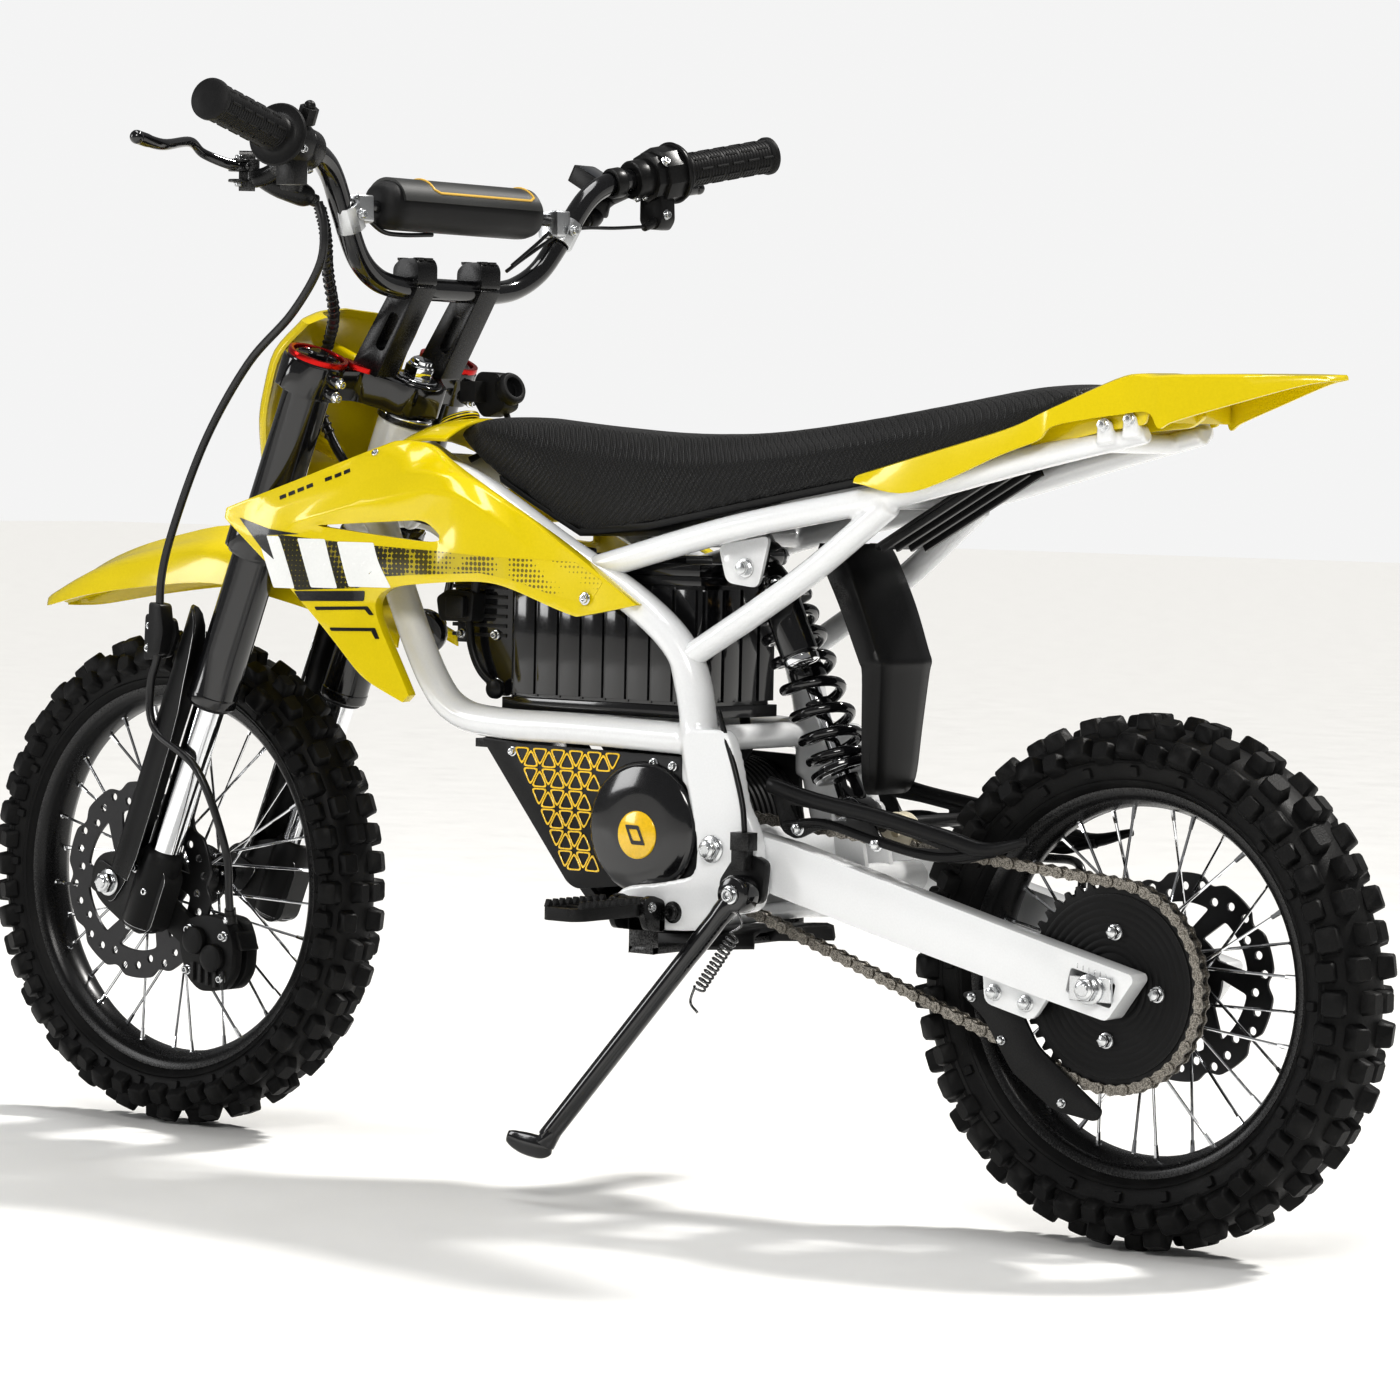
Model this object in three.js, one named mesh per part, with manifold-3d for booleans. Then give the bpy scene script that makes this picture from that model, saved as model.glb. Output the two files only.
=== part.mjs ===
// A child's electric dirt bike: twin-spar frame, long-travel fork, single rear
// shock, spoked wheels and chain drive. Millimetres, +X forward, +Y to the
// rider's left, +Z up. While it is being built, the rear axle is at x = 0 and
// the ground at z = 0; the last lines put the origin at the box's floor centre.

import * as THREE from 'three';
import { mergeVertices } from 'three/addons/utils/BufferGeometryUtils.js';
import Module from 'manifold-3d';

const wasm = await Module();
wasm.setup();

// ---------------------------------------------------------------- dimensions

const WHEELBASE = 1143;
const REAR_WHEEL = { radius: 233, halfWidth: 42, rimRadius: 163, rimHalf: 24, crown: 27 };
const FRONT_WHEEL = { radius: 248, halfWidth: 36, rimRadius: 187, rimHalf: 21, crown: 23 };
const REAR_AXLE = [0, 0, REAR_WHEEL.radius];
const FRONT_AXLE = [WHEELBASE, 0, FRONT_WHEEL.radius];
const SPOKES = 32;

const RAKE = THREE.MathUtils.degToRad(21.5);
const STEER_TOP = [838.6, 0, 773];
const FORK_AHEAD = 46;
const FORK_HALF = 96;
const TUBE_TOP = -18;
const TUBE_BOTTOM = -386;
const LEG_TOP = -330;
const AXLE_LOCAL = [90.8, -600];
const CLAMP_TOP = [-58, -28];
const CLAMP_LOW = [-226, -198];

const PIVOT = [398, 0, 328];
const CHAIN_Y = 58;
const CHAIN_HALF = 5.5;
const MOTOR_AXIS = [493, 336];
const BIG_SPROCKET = 89;
const SMALL_SPROCKET = 28.5;
const RAIL_Y = 86;
const RAIL_R = 15;
const ARM_INNER = 66;
const ARM_OUTER = 90;

const SHOCK_TOP = [425, 0, 590];
const SHOCK_LOW = [314, 0, 362];
const PEG_HINGE = [470, 128, 276];
const STAND_PIVOT = [357, 122, 291];
const STAND_FOOT = [531, 176, 56];

const BAR_R = 11;
const GRIP_R = 16;
const GRIP_INNER = [766, 292, 963];
const GRIP_END = [738, 415, 987];
const LEVER_PIVOT = [846, 258, 938];
const LEVER_TIP = [827, 413, 955];
const GAP = 0.4;

// ----------------------------------------------------------------- materials

function material(colour, roughness, metalness) {
  return new THREE.MeshStandardMaterial({ color: colour, roughness, metalness });
}

const YELLOW = material(0xe2c90f, 0.35, 0);
const WHITE = material(0xe9ebec, 0.3, 0.1);
const BLACK = material(0x17181a, 0.45, 0);
const BLACK_METAL = material(0x141416, 0.35, 0.6);
const CHROME = material(0xc9ccd0, 0.15, 1);
const ALLOY = material(0xb6b9bc, 0.35, 0.9);
const RUBBER = material(0x1a1a1b, 0.85, 0);
const LEATHER = material(0x1d1e20, 0.75, 0);

const model = new THREE.Group();

function add(name, geometry, look, parent = model) {
  const mesh = new THREE.Mesh(geometry, look);
  mesh.name = name;
  parent.add(mesh);
  return mesh;
}

// ------------------------------------------------------------ shape functions

function solidOf(geometry) {
  const plain = geometry.index ? geometry.toNonIndexed() : geometry.clone();
  plain.deleteAttribute('normal');
  plain.deleteAttribute('uv');
  const merged = mergeVertices(plain, 1e-4);
  return new wasm.Manifold(new wasm.Mesh({
    numProp: 3,
    vertProperties: new Float32Array(merged.attributes.position.array),
    triVerts: new Uint32Array(merged.index.array),
  }));
}

function geometryOf(solid) {
  const mesh = solid.getMesh();
  const points = new Float32Array((mesh.vertProperties.length / mesh.numProp) * 3);
  for (let i = 0; i < points.length / 3; i += 1) {
    for (let k = 0; k < 3; k += 1) points[i * 3 + k] = mesh.vertProperties[i * mesh.numProp + k];
  }
  const geometry = new THREE.BufferGeometry();
  geometry.setAttribute('position', new THREE.BufferAttribute(points, 3));
  geometry.setIndex(new THREE.BufferAttribute(new Uint32Array(mesh.triVerts), 1));
  return geometry;
}

function join(...pieces) {
  return geometryOf(pieces.map(solidOf).reduce((sum, piece) => sum.add(piece)));
}

function cut(piece, ...tools) {
  return geometryOf(tools.map(solidOf).reduce((rest, tool) => rest.subtract(tool), solidOf(piece)));
}

function box(x0, x1, y0, y1, z0, z1) {
  const geometry = new THREE.BoxGeometry(x1 - x0, y1 - y0, z1 - z0);
  return geometry.translate((x0 + x1) / 2, (y0 + y1) / 2, (z0 + z1) / 2);
}

// A straight round bar, or a cone, between two points.
function rod(from, to, radius, sides = 12, endRadius = radius) {
  const a = new THREE.Vector3(...from);
  const b = new THREE.Vector3(...to);
  const along = b.clone().sub(a);
  const geometry = new THREE.CylinderGeometry(endRadius, radius, along.length(), sides);
  const turn = new THREE.Quaternion().setFromUnitVectors(new THREE.Vector3(0, 1, 0), along.normalize());
  return geometry.applyQuaternion(turn).translate(...a.add(b).multiplyScalar(0.5).toArray());
}

// A round tube of constant radius along a smooth curve through the points.
function tube(points, radius, steps, sides = 10, tension = 0.5) {
  const route = points.map((p) => new THREE.Vector3(...p));
  const curve = new THREE.CatmullRomCurve3(route, false, 'centripetal', tension);
  const section = new THREE.Shape();
  for (let i = 0; i < sides; i += 1) {
    const angle = (2 * Math.PI * i) / sides;
    const point = [radius * Math.cos(angle), radius * Math.sin(angle)];
    if (i === 0) section.moveTo(...point);
    else section.lineTo(...point);
  }
  section.closePath();
  return new THREE.ExtrudeGeometry(section, { extrudePath: curve, steps, bevelEnabled: false });
}

function outline(points, holes = []) {
  const shape = new THREE.Shape(points.map((p) => new THREE.Vector2(...p)));
  shape.holes = holes.map((hole) => new THREE.Path(hole.map((p) => new THREE.Vector2(...p))));
  return shape;
}

// A flat plate drawn in X and Z, from y0 to y1.
function plate(points, y0, y1, holes = []) {
  const geometry = new THREE.ExtrudeGeometry(outline(points, holes), {
    depth: y1 - y0,
    bevelEnabled: false,
  });
  return geometry.rotateX(Math.PI / 2).translate(0, y1, 0);
}

// A ring or disc turned about the Y axis from a closed profile of [radius, y].
function turned(profile, sides) {
  const closed = [...profile, profile[0]].map((p) => new THREE.Vector2(...p));
  return new THREE.LatheGeometry(closed, sides);
}

function disc(centre, radius, y0, y1, sides = 24) {
  return rod([centre[0], y0, centre[1]], [centre[0], y1, centre[1]], radius, sides);
}

// A closed body skinned over rings with equal numbers of points.
function loft(rings) {
  const count = rings[0].length;
  const points = rings.flat();
  const faces = [];
  for (let i = 0; i + 1 < rings.length; i += 1) {
    for (let k = 0; k < count; k += 1) {
      const [a, b] = [i * count + k, i * count + ((k + 1) % count)];
      faces.push(a, b, b + count, a, b + count, a + count);
    }
  }
  const flat = rings[0].map((p) => new THREE.Vector2(p[1], p[2]));
  const last = (rings.length - 1) * count;
  const clockwise = THREE.ShapeUtils.isClockWise(flat);
  for (const [a, b, c] of THREE.ShapeUtils.triangulateShape(clockwise ? [...flat].reverse() : flat, [])) {
    const [i, j, k] = clockwise ? [a, b, c].map((n) => count - 1 - n) : [a, b, c];
    if (clockwise) faces.push(i, j, k, last + i, last + k, last + j);
    else faces.push(i, k, j, last + i, last + j, last + k);
  }
  return closedBody(points, faces);
}

// A thin panel: its outer face is the outline's triangles, pushed inwards along Y.
function panel(points, thickness, holes = []) {
  const rims = [points, ...holes];
  const flat = rims.map((rim) => rim.map((p) => new THREE.Vector2(p[0], p[2])));
  if (THREE.ShapeUtils.isClockWise(flat[0])) {
    flat[0].reverse();
    rims[0] = [...points].reverse();
  }
  const all = rims.flat();
  const outer = THREE.ShapeUtils.triangulateShape(flat[0], flat.slice(1));
  const inner = all.map((p) => [p[0], p[1] - thickness, p[2]]);
  const faces = [];
  for (const [a, b, c] of outer) faces.push(a, c, b, a + all.length, b + all.length, c + all.length);
  let start = 0;
  for (const rim of rims) {
    for (let k = 0; k < rim.length; k += 1) {
      const [a, b] = [start + k, start + ((k + 1) % rim.length)];
      faces.push(a, b, b + all.length, a, b + all.length, a + all.length);
    }
    start += rim.length;
  }
  return closedBody([...all, ...inner], faces);
}

// Turns points and triangles into a geometry whose faces point outwards.
function closedBody(points, faces) {
  let volume = 0;
  for (let i = 0; i < faces.length; i += 3) {
    const [a, b, c] = [0, 1, 2].map((k) => new THREE.Vector3(...points[faces[i + k]]));
    volume += a.dot(b.cross(c));
  }
  const turnedFaces = [...faces];
  if (volume < 0) {
    for (let i = 0; i < faces.length; i += 3) {
      [turnedFaces[i + 1], turnedFaces[i + 2]] = [faces[i + 2], faces[i + 1]];
    }
  }
  const geometry = new THREE.BufferGeometry();
  geometry.setAttribute('position', new THREE.Float32BufferAttribute(points.flat(), 3));
  geometry.setIndex(turnedFaces);
  return geometry;
}

// The same piece on the other side of the bike.
function mirrored(geometry) {
  const copy = geometry.clone();
  const place = copy.attributes.position;
  for (let i = 0; i < place.count; i += 1) place.setY(i, -place.getY(i));
  if (!copy.index) copy.setIndex([...Array(place.count).keys()]);
  const index = [...copy.index.array];
  for (let i = 0; i < index.length; i += 3) [index[i + 1], index[i + 2]] = [index[i + 2], index[i + 1]];
  copy.setIndex(index);
  return copy;
}

function flipY(point) {
  return [point[0], -point[1], point[2]];
}

function between(a, b, t) {
  return a.map((value, i) => value + (b[i] - value) * t);
}

// -------------------------------------------------------------------- wheels

function tyre(wheel) {
  const { radius, halfWidth, rimRadius, rimHalf, crown } = wheel;
  const side = radius - 26;
  return turned([
    [rimRadius + 7, -rimHalf], [rimRadius + 16, -rimHalf - 6], [side - 12, -halfWidth],
    [side + 12, -halfWidth + 1], [radius, -crown], [radius, crown], [side + 12, halfWidth - 1],
    [side - 12, halfWidth], [rimRadius + 16, rimHalf + 6], [rimRadius + 7, rimHalf],
  ], 40);
}

// Rim, hub and laced spokes as one built-up wheel.
function spokedRim(wheel, hub) {
  const { rimRadius, rimHalf } = wheel;
  const rim = turned([
    [rimRadius - 12, -9], [rimRadius - 4, -rimHalf], [rimRadius + 6, -rimHalf],
    [rimRadius + 6, rimHalf], [rimRadius - 4, rimHalf], [rimRadius - 12, 9],
  ], 36);
  const body = turned([
    [9, -hub.half], [16, -hub.half], [18, -hub.flange], [hub.radius, -hub.flange],
    [hub.radius, -hub.flange + 5], [20, -hub.flange + 10], [20, hub.flange - 10],
    [hub.radius, hub.flange - 5], [hub.radius, hub.flange], [18, hub.flange], [16, hub.half], [9, hub.half],
  ], 16);
  const pieces = [rim, body];
  for (let i = 0; i < SPOKES; i += 1) {
    const outer = (2 * Math.PI * i) / SPOKES;
    const lean = i % 4 < 2 ? 0.5 : -0.5;
    const side = i % 2 ? 1 : -1;
    const reach = rimRadius - 8;
    const root = hub.radius - 4;
    pieces.push(rod(
      [root * Math.cos(outer + lean), side * (hub.flange - 2.5), root * Math.sin(outer + lean)],
      [reach * Math.cos(outer), side * 4, reach * Math.sin(outer)],
      1.8,
      3,
    ));
  }
  return join(...pieces);
}

function brakeDisc(radius, y) {
  return turned([[26, y - 2], [radius, y - 2], [radius, y + 2], [26, y + 2]], 32);
}

function atAxle(geometry, axle) {
  return geometry.translate(...axle);
}

function addRearWheel() {
  const hub = { half: 50, flange: 34, radius: 34 };
  add('rear_tyre', atAxle(tyre(REAR_WHEEL), REAR_AXLE), RUBBER);
  add('rear_rim', atAxle(spokedRim(REAR_WHEEL, hub), REAR_AXLE), BLACK_METAL);
  const plateRadius = BIG_SPROCKET - 4.5;
  const sprocket = turned([
    [22, CHAIN_Y - 9], [40, CHAIN_Y - 9], [40, CHAIN_Y - 2.2], [plateRadius, CHAIN_Y - 2.2],
    [plateRadius, CHAIN_Y + 2.2], [40, CHAIN_Y + 2.2], [40, CHAIN_Y + 4], [22, CHAIN_Y + 4],
  ], 24);
  add('rear_sprocket', atAxle(sprocket, REAR_AXLE), BLACK_METAL);
  add('rear_disc', atAxle(brakeDisc(92, -56), REAR_AXLE), CHROME);
}

function addFrontWheel() {
  const hub = { half: 58, flange: 30, radius: 30 };
  add('front_tyre', atAxle(tyre(FRONT_WHEEL), FRONT_AXLE), RUBBER);
  add('front_rim', atAxle(spokedRim(FRONT_WHEEL, hub), FRONT_AXLE), BLACK_METAL);
  add('front_disc', atAxle(brakeDisc(98, 66), FRONT_AXLE), CHROME);
}

// --------------------------------------------------------------------- frame

function steerPoint(ahead, up, y = 0) {
  return [
    STEER_TOP[0] + ahead * Math.cos(RAKE) - up * Math.sin(RAKE),
    y,
    STEER_TOP[2] + ahead * Math.sin(RAKE) + up * Math.cos(RAKE),
  ];
}

function spar(radius) {
  return tube([
    steerPoint(-4, -115, 16), [800, 44, 662], [720, 64, 648], [600, 78, 591],
    [505, RAIL_Y, 546], [452, RAIL_Y, 504], [432, RAIL_Y, 455], [429, RAIL_Y, 385],
  ], radius, 14, 8);
}

function frameSide() {
  const cradle = tube([
    steerPoint(2, -165, 16), [850, 46, 610], [800, 70, 540], [752, 80, 466], [716, RAIL_Y - 3, 436],
    [660, RAIL_Y, 428], [560, RAIL_Y, 427], [440, RAIL_Y, 424],
  ], RAIL_R, 14, 8);
  const casting = plate([
    [396, 444], [438, 444], [433, 400], [418, 318], [421, 299], [498, 288], [516, 268], [506, 252],
    [455, 250], [399, 254], [374, 268], [352, 276], [344, 296], [351, 349], [367, 380],
  ], ARM_OUTER + 1.5, 106);
  return join(spar(RAIL_R), cradle, casting);
}

function addFrame() {
  const headTube = rod(steerPoint(0, -190), steerPoint(0, -66), 25, 20);
  const cross = (x, z, radius, half) => rod([x, -half, z], [x, half, z], radius, 10);
  const gusset = box(700, 716, -80, 80, 418, 440);
  const bore = rod(steerPoint(0, -192), steerPoint(0, -64), 16.5, 16);
  const side = frameSide();
  const frame = cut(
    join(
      headTube,
      side,
      mirrored(side),
      cross(436, 424, 12, RAIL_Y),
      cross(425, 262, 9, ARM_OUTER + 6),
      gusset,
    ),
    bore,
    rod([PIVOT[0], -120, PIVOT[2]], [PIVOT[0], 120, PIVOT[2]], 7.6, 16),
  );
  add('main_frame', frame, WHITE);
  const bolt = join(
    rod([PIVOT[0], -100, PIVOT[2]], [PIVOT[0], 100, PIVOT[2]], 7, 12),
    rod([PIVOT[0], 106 + GAP, PIVOT[2]], [PIVOT[0], 114, PIVOT[2]], 12, 6),
    rod([PIVOT[0], 99, PIVOT[2]], [PIVOT[0], 107, PIVOT[2]], 7, 12),
  );
  add('pivot_bolt', bolt, CHROME);
}

function addSubframe() {
  const rail = tube([
    [562, 81, 573], [400, 80, 616], [236, 70, 648], [100, 60, 682], [-14, 46, 706],
  ], 13, 12, 8);
  const strut = tube([[447, 86, 494], [330, 80, 568], [236, 71, 640]], 12, 6, 8);
  const side = cut(join(rail, strut), spar(RAIL_R + GAP));
  const bars = [[236, 70, 645], [20, 48, 698], [444, 80, 606]].map(
    ([x, y, z]) => rod([x, -y, z], [x, y, z], 9, 8),
  );
  const [x, , z] = SHOCK_TOP;
  const ear = plate([[x - 12, z - 8], [x + 8, z - 10], [456, 606], [436, 610]], 16, 22);
  const pin = rod([x, -20, z], [x, 20, z], 6.5, 12);
  add('rear_subframe', join(side, mirrored(side), ...bars, ear, mirrored(ear), pin), WHITE);
}

function addBattery() {
  const pieces = [box(456, 682, -58, 58, 448, 566), box(452, 686, -61, 61, 566, 580)];
  for (let x = 466; x < 682; x += 27) pieces.push(box(x, x + 12, -62, 62, 452, 566));
  add('battery_case', join(...pieces), BLACK);
  add('controller', box(694, 752, -46, 46, 500, 566), BLACK);
}

function addMotor() {
  const shell = join(
    disc(MOTOR_AXIS, 66, -80, 46, 28),
    disc(MOTOR_AXIS, 20, 46, 50, 20),
    cut(
      plate([[655, 410], [440, 404], [433, 309], [438, 298], [576, 280], [680, 407]], -84, -78),
      mirrored(spar(RAIL_R + 1)),
    ),
  );
  add('motor', shell, BLACK_METAL);
  const side = [[655, 410], [440, 404], [433, 309], [438, 298], [576, 280], [683, 408]];
  add('motor_plate', cut(plate(side, 78, 83), spar(RAIL_R + 1)), BLACK);
  add('motor_cover', disc([493, 340], 56, 83 + GAP, 91, 28), BLACK_METAL);
  const skid = [
    [716, 408], [704, 412], [580, 270], [540, 243], [385, 251], [385, 247], [541, 238], [586, 266],
  ];
  add('skid_plate', plate(skid, -62, 62), BLACK);
}

// ---------------------------------------------------------------- rear swing

// A point of the arm's centre line, measured back from the pivot.
function armPoint(back, y, rise = 0) {
  const angle = Math.atan2(PIVOT[2] - REAR_AXLE[2], PIVOT[0]);
  return [
    PIVOT[0] - back * Math.cos(angle) - rise * Math.sin(angle),
    y,
    PIVOT[2] - back * Math.sin(angle) + rise * Math.cos(angle),
  ];
}

function armOutline(list) {
  return list.map(([back, rise]) => {
    const p = armPoint(back, 0, rise);
    return [p[0], p[2]];
  });
}

function addSwingarm() {
  const length = Math.hypot(PIVOT[0], PIVOT[2] - REAR_AXLE[2]);
  const arm = plate(
    armOutline([
      [-15, -17], [-22, 0], [-15, 17], [40, 24], [length + 34, 23], [length + 18, -23], [40, -23],
    ]),
    ARM_INNER,
    ARM_OUTER,
    [armOutline([[length - 26, -10], [length + 20, -10], [length + 20, 10], [length - 26, 10]])],
  );
  const window = box(-30, 30, ARM_INNER - 1, ARM_OUTER + 1, 222, 244);
  const tab = plate(armOutline([
    [length - 112, -50], [length - 60, -50], [length - 50, -20], [length - 120, -20],
  ]), 70, 76);
  const guide = plate([
    [118, 214], [96, 152], [44, 122], [8, 128], [30, 150], [86, 200], [92, 216],
  ], 66, 70.5);
  const left = cut(join(arm, tab, guide), window);
  const right = cut(mirrored(arm), mirrored(window));
  const barrel = rod([PIVOT[0], -ARM_INNER - 2, PIVOT[2]], [PIVOT[0], ARM_INNER + 2, PIVOT[2]], 20, 16);
  const brace = rod(armPoint(105, -ARM_INNER - 2, -2), armPoint(105, ARM_INNER + 2, -2), 15, 12);
  const ears = [-1, 1].map((side) => plate(
    [[330, 372], [300, 372], [286, 300], [318, 300]],
    side * 19 - 3,
    side * 19 + 3,
  ));
  const bore = rod([PIVOT[0], -95, PIVOT[2]], [PIVOT[0], 95, PIVOT[2]], 7.4, 16);
  add('swingarm', cut(join(left, right, barrel, brace, ...ears), bore), WHITE);
  const axle = join(
    rod([0, -104, 233], [0, 104, 233], 7.5, 12),
    box(-14, 14, 91, 95, 222, 244),
    box(-14, 14, -95, -91, 222, 244),
    rod([0, 95, 233], [0, 106, 233], 12, 6),
    rod([0, -106, 233], [0, -95, 233], 12, 6),
  );
  add('rear_axle', axle, CHROME);
  const truss = (y0, y1) => join(
    plate([[352, 392], [352, 378], [120, 336], [70, 350], [72, 358], [118, 352]], y0, y1),
    plate([
      [350, 388], [338, 345], [322, 345], [300, 356], [180, 330], [120, 338], [160, 356],
    ], y0, y0 + 5),
  );
  const guard = join(
    truss(78, 90),
    mirrored(truss(78, 90)),
    rod([240, -80, 357], [240, 80, 357], 6, 8),
  );
  add('chain_guard', guard, BLACK);
}

// The chain as one thick band round both sprockets.
function addChain() {
  const far = [REAR_AXLE[0], REAR_AXLE[2]];
  const span = Math.hypot(MOTOR_AXIS[0] - far[0], MOTOR_AXIS[1] - far[1]);
  const tilt = Math.atan2(MOTOR_AXIS[1] - far[1], MOTOR_AXIS[0] - far[0]);
  const wrap = Math.acos((BIG_SPROCKET - SMALL_SPROCKET) / span);
  const loop = (offset) => {
    const points = [];
    const big = BIG_SPROCKET + offset;
    const small = SMALL_SPROCKET + offset;
    for (let i = 0; i <= 24; i += 1) {
      const angle = tilt + wrap + ((2 * Math.PI - 2 * wrap) * i) / 24;
      points.push([far[0] + big * Math.cos(angle), far[1] + big * Math.sin(angle)]);
    }
    for (let i = 0; i <= 8; i += 1) {
      const angle = tilt - wrap + (2 * wrap * i) / 8;
      points.push([MOTOR_AXIS[0] + small * Math.cos(angle), MOTOR_AXIS[1] + small * Math.sin(angle)]);
    }
    return points;
  };
  add('chain', plate(loop(4), CHAIN_Y - CHAIN_HALF, CHAIN_Y + CHAIN_HALF, [loop(-4)]), ALLOY);
  const tooth = SMALL_SPROCKET - 4.5;
  const drive = rod(
    [MOTOR_AXIS[0], CHAIN_Y - 4, MOTOR_AXIS[1]],
    [MOTOR_AXIS[0], CHAIN_Y + 4, MOTOR_AXIS[1]],
    tooth,
    22,
  );
  add('drive_sprocket', drive, BLACK_METAL);
}

function addRearBrake() {
  const caliper = cut(
    join(box(62, 118, -65.4, -46, 246, 300), box(40, 90, -65.4, -60, 236, 256)),
    disc([REAR_AXLE[0], REAR_AXLE[2]], 95, -59, -53, 32),
  );
  add('rear_caliper', caliper, BLACK_METAL);
  const hose = tube([
    [108, -56, 301], [109, -57, 318], [126, -68, 326], [160, -75, 326], [230, -75, 326],
    [300, -75, 338], [352, -72, 358],
  ], 4, 16, 8);
  add('rear_brake_hose', hose, BLACK);
}

function addShock() {
  const top = new THREE.Vector3(...SHOCK_TOP);
  const low = new THREE.Vector3(...SHOCK_LOW);
  const along = top.clone().sub(low);
  const length = along.length();
  const at = (t) => between(SHOCK_LOW, SHOCK_TOP, t / length);
  const across = (centre, half, radius) => rod(
    [centre[0], -half, centre[2]], [centre[0], half, centre[2]], radius, 14,
  );
  const body = join(
    rod(at(128), at(length - 16), 15.5, 16),
    rod(at(206), at(214), 27, 20),
    rod(at(length - 20), at(length), 10, 12),
    across(SHOCK_TOP, 12, 13),
    rod(
      [at(225)[0] - 38, 46, at(225)[2] - 6], [at(225)[0] - 66, 46, at(225)[2] - 66], 17, 16,
    ),
    rod(at(222), [at(225)[0] - 44, 46, at(225)[2] - 20], 9, 8),
  );
  const solidBody = cut(body, rod(at(124), at(200), 8, 12), across(SHOCK_TOP, 20, 7));
  add('shock_body', solidBody, BLACK_METAL);
  const shaft = join(
    rod(at(12), at(180), 6.5, 12),
    rod(at(38), at(46), 27, 20),
    across(SHOCK_LOW, 13, 13),
    rod(at(10), at(40), 10, 12),
  );
  add('shock_rod', shaft, CHROME);
  const turns = 6.5;
  const from = 52;
  const to = 200;
  const reference = new THREE.Vector3(0, 1, 0);
  const side = along.clone().normalize().cross(reference);
  const coil = [];
  for (let i = 0; i <= turns * 8; i += 1) {
    const angle = (2 * Math.PI * i) / 8;
    const centre = at(from + ((to - from) * i) / (turns * 8));
    coil.push([
      centre[0] + 22.8 * Math.cos(angle) * side.x,
      22.8 * Math.sin(angle),
      centre[2] + 22.8 * Math.cos(angle) * side.z,
    ]);
  }
  add('shock_spring', tube(coil, 4.2, 52, 6), BLACK_METAL);
}

// ------------------------------------------------------------ body and seat

// Cross-sections of the seat, or of the room that a cover round it must leave.
function seatRings(spare, lift) {
  const sections = [
    [770, 22, 692, 702], [735, 44, 676, 712], [660, 60, 640, 707], [590, 70, 609, 700],
    [500, 78, 618, 695], [400, 80, 636, 698], [300, 78, 655, 710], [200, 74, 674, 726],
    [110, 68, 697, 742], [50 - spare, 56, 730, 749],
  ];
  return sections.map(([x, narrow, low, top]) => {
    const half = narrow + spare;
    const high = top + lift;
    return [
      [x, -half, low - spare], [x, -half * 0.96, low + (high - low) * 0.55], [x, -half * 0.7, high - 3],
      [x, 0, high], [x, half * 0.7, high - 3], [x, half * 0.96, low + (high - low) * 0.55],
      [x, half, low - spare], [x, half * 0.5, low - spare + 4], [x, -half * 0.5, low - spare + 4],
    ];
  });
}

function addSeat() {
  add('seat', loft(seatRings(0, 0)), LEATHER);
}

function addTankPanels() {
  const rim = [
    [956, 150, 622], [810, 116, 677], [788, 96, 689], [752, 86, 684], [700, 96, 656], [578, 106, 598],
    [487, 110, 544], [554, 113, 531], [635, 116, 557], [771, 126, 549], [784, 129, 537], [737, 134, 454],
    [741, 136, 445], [788, 142, 466], [830, 146, 509], [956, 151, 613],
  ];
  const window = [[843, 138, 609], [777, 128, 597], [723, 120, 594], [719, 119, 602], [738, 121, 617]];
  const left = panel(rim, 4, [window]);
  add('shroud_left', left, YELLOW);
  add('shroud_right', mirrored(left), YELLOW);
  const cover = (x, half, high) => [
    [x, -half, high - 16], [x, -half * 0.75, high - 4], [x, 0, high], [x, half * 0.75, high - 4],
    [x, half, high - 16], [x, half - 6, high - 20], [x, half * 0.7, high - 9], [x, 0, high - 5],
    [x, -half * 0.7, high - 9], [x, -half + 6, high - 20],
  ];
  add('tank_cover', loft([cover(822, 84, 692), cover(800, 82, 704), cover(776, 78, 708)]), YELLOW);
}

// Cross-sections of the rear fender, open below.
function rearFenderRings() {
  return [
    [262, 88, 660, 668], [200, 90, 652, 684], [110, 86, 688, 706], [40, 80, 708, 738], [0, 70, 712, 756],
    [-80, 44, 728, 757], [-150, 20, 748, 757], [-180, 4, 753, 757],
  ].map(([x, half, low, high]) => {
    const inner = half - 3.5;
    const roof = high - 3;
    return [
      [x, -half, low], [x, -half * 0.97, high - 2], [x, -half * 0.9, high], [x, half * 0.9, high],
      [x, half * 0.97, high - 2], [x, half, low],
      [x, inner, low], [x, inner * 0.95, roof - 1], [x, -inner * 0.95, roof - 1], [x, -inner, low],
    ];
  });
}

function addTail() {
  const shell = loft(rearFenderRings());
  add('rear_fender', cut(shell, loft(seatRings(3, 80))), YELLOW);
  const inner = [
    [280, 598], [272, 608], [150, 677], [138, 677], [138, 673], [148, 672], [268, 603], [276, 594],
  ];
  add('inner_fender', plate(inner, -38, 38), BLACK);
  const flap = (x, z, half) => [
    [x, -half, z], [x, half, z], [x + 14, half, z], [x + 14, half - 4, z], [x + 4, half - 4, z],
    [x + 4, -half + 4, z], [x + 14, -half + 4, z], [x + 14, -half, z],
  ];
  const rows = [
    flap(304, 592, 44), flap(282, 548, 44), flap(264, 500, 42), flap(268, 440, 38), flap(273, 380, 33),
  ];
  add('mud_flap', loftAlongZ(rows), BLACK);
}

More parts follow.
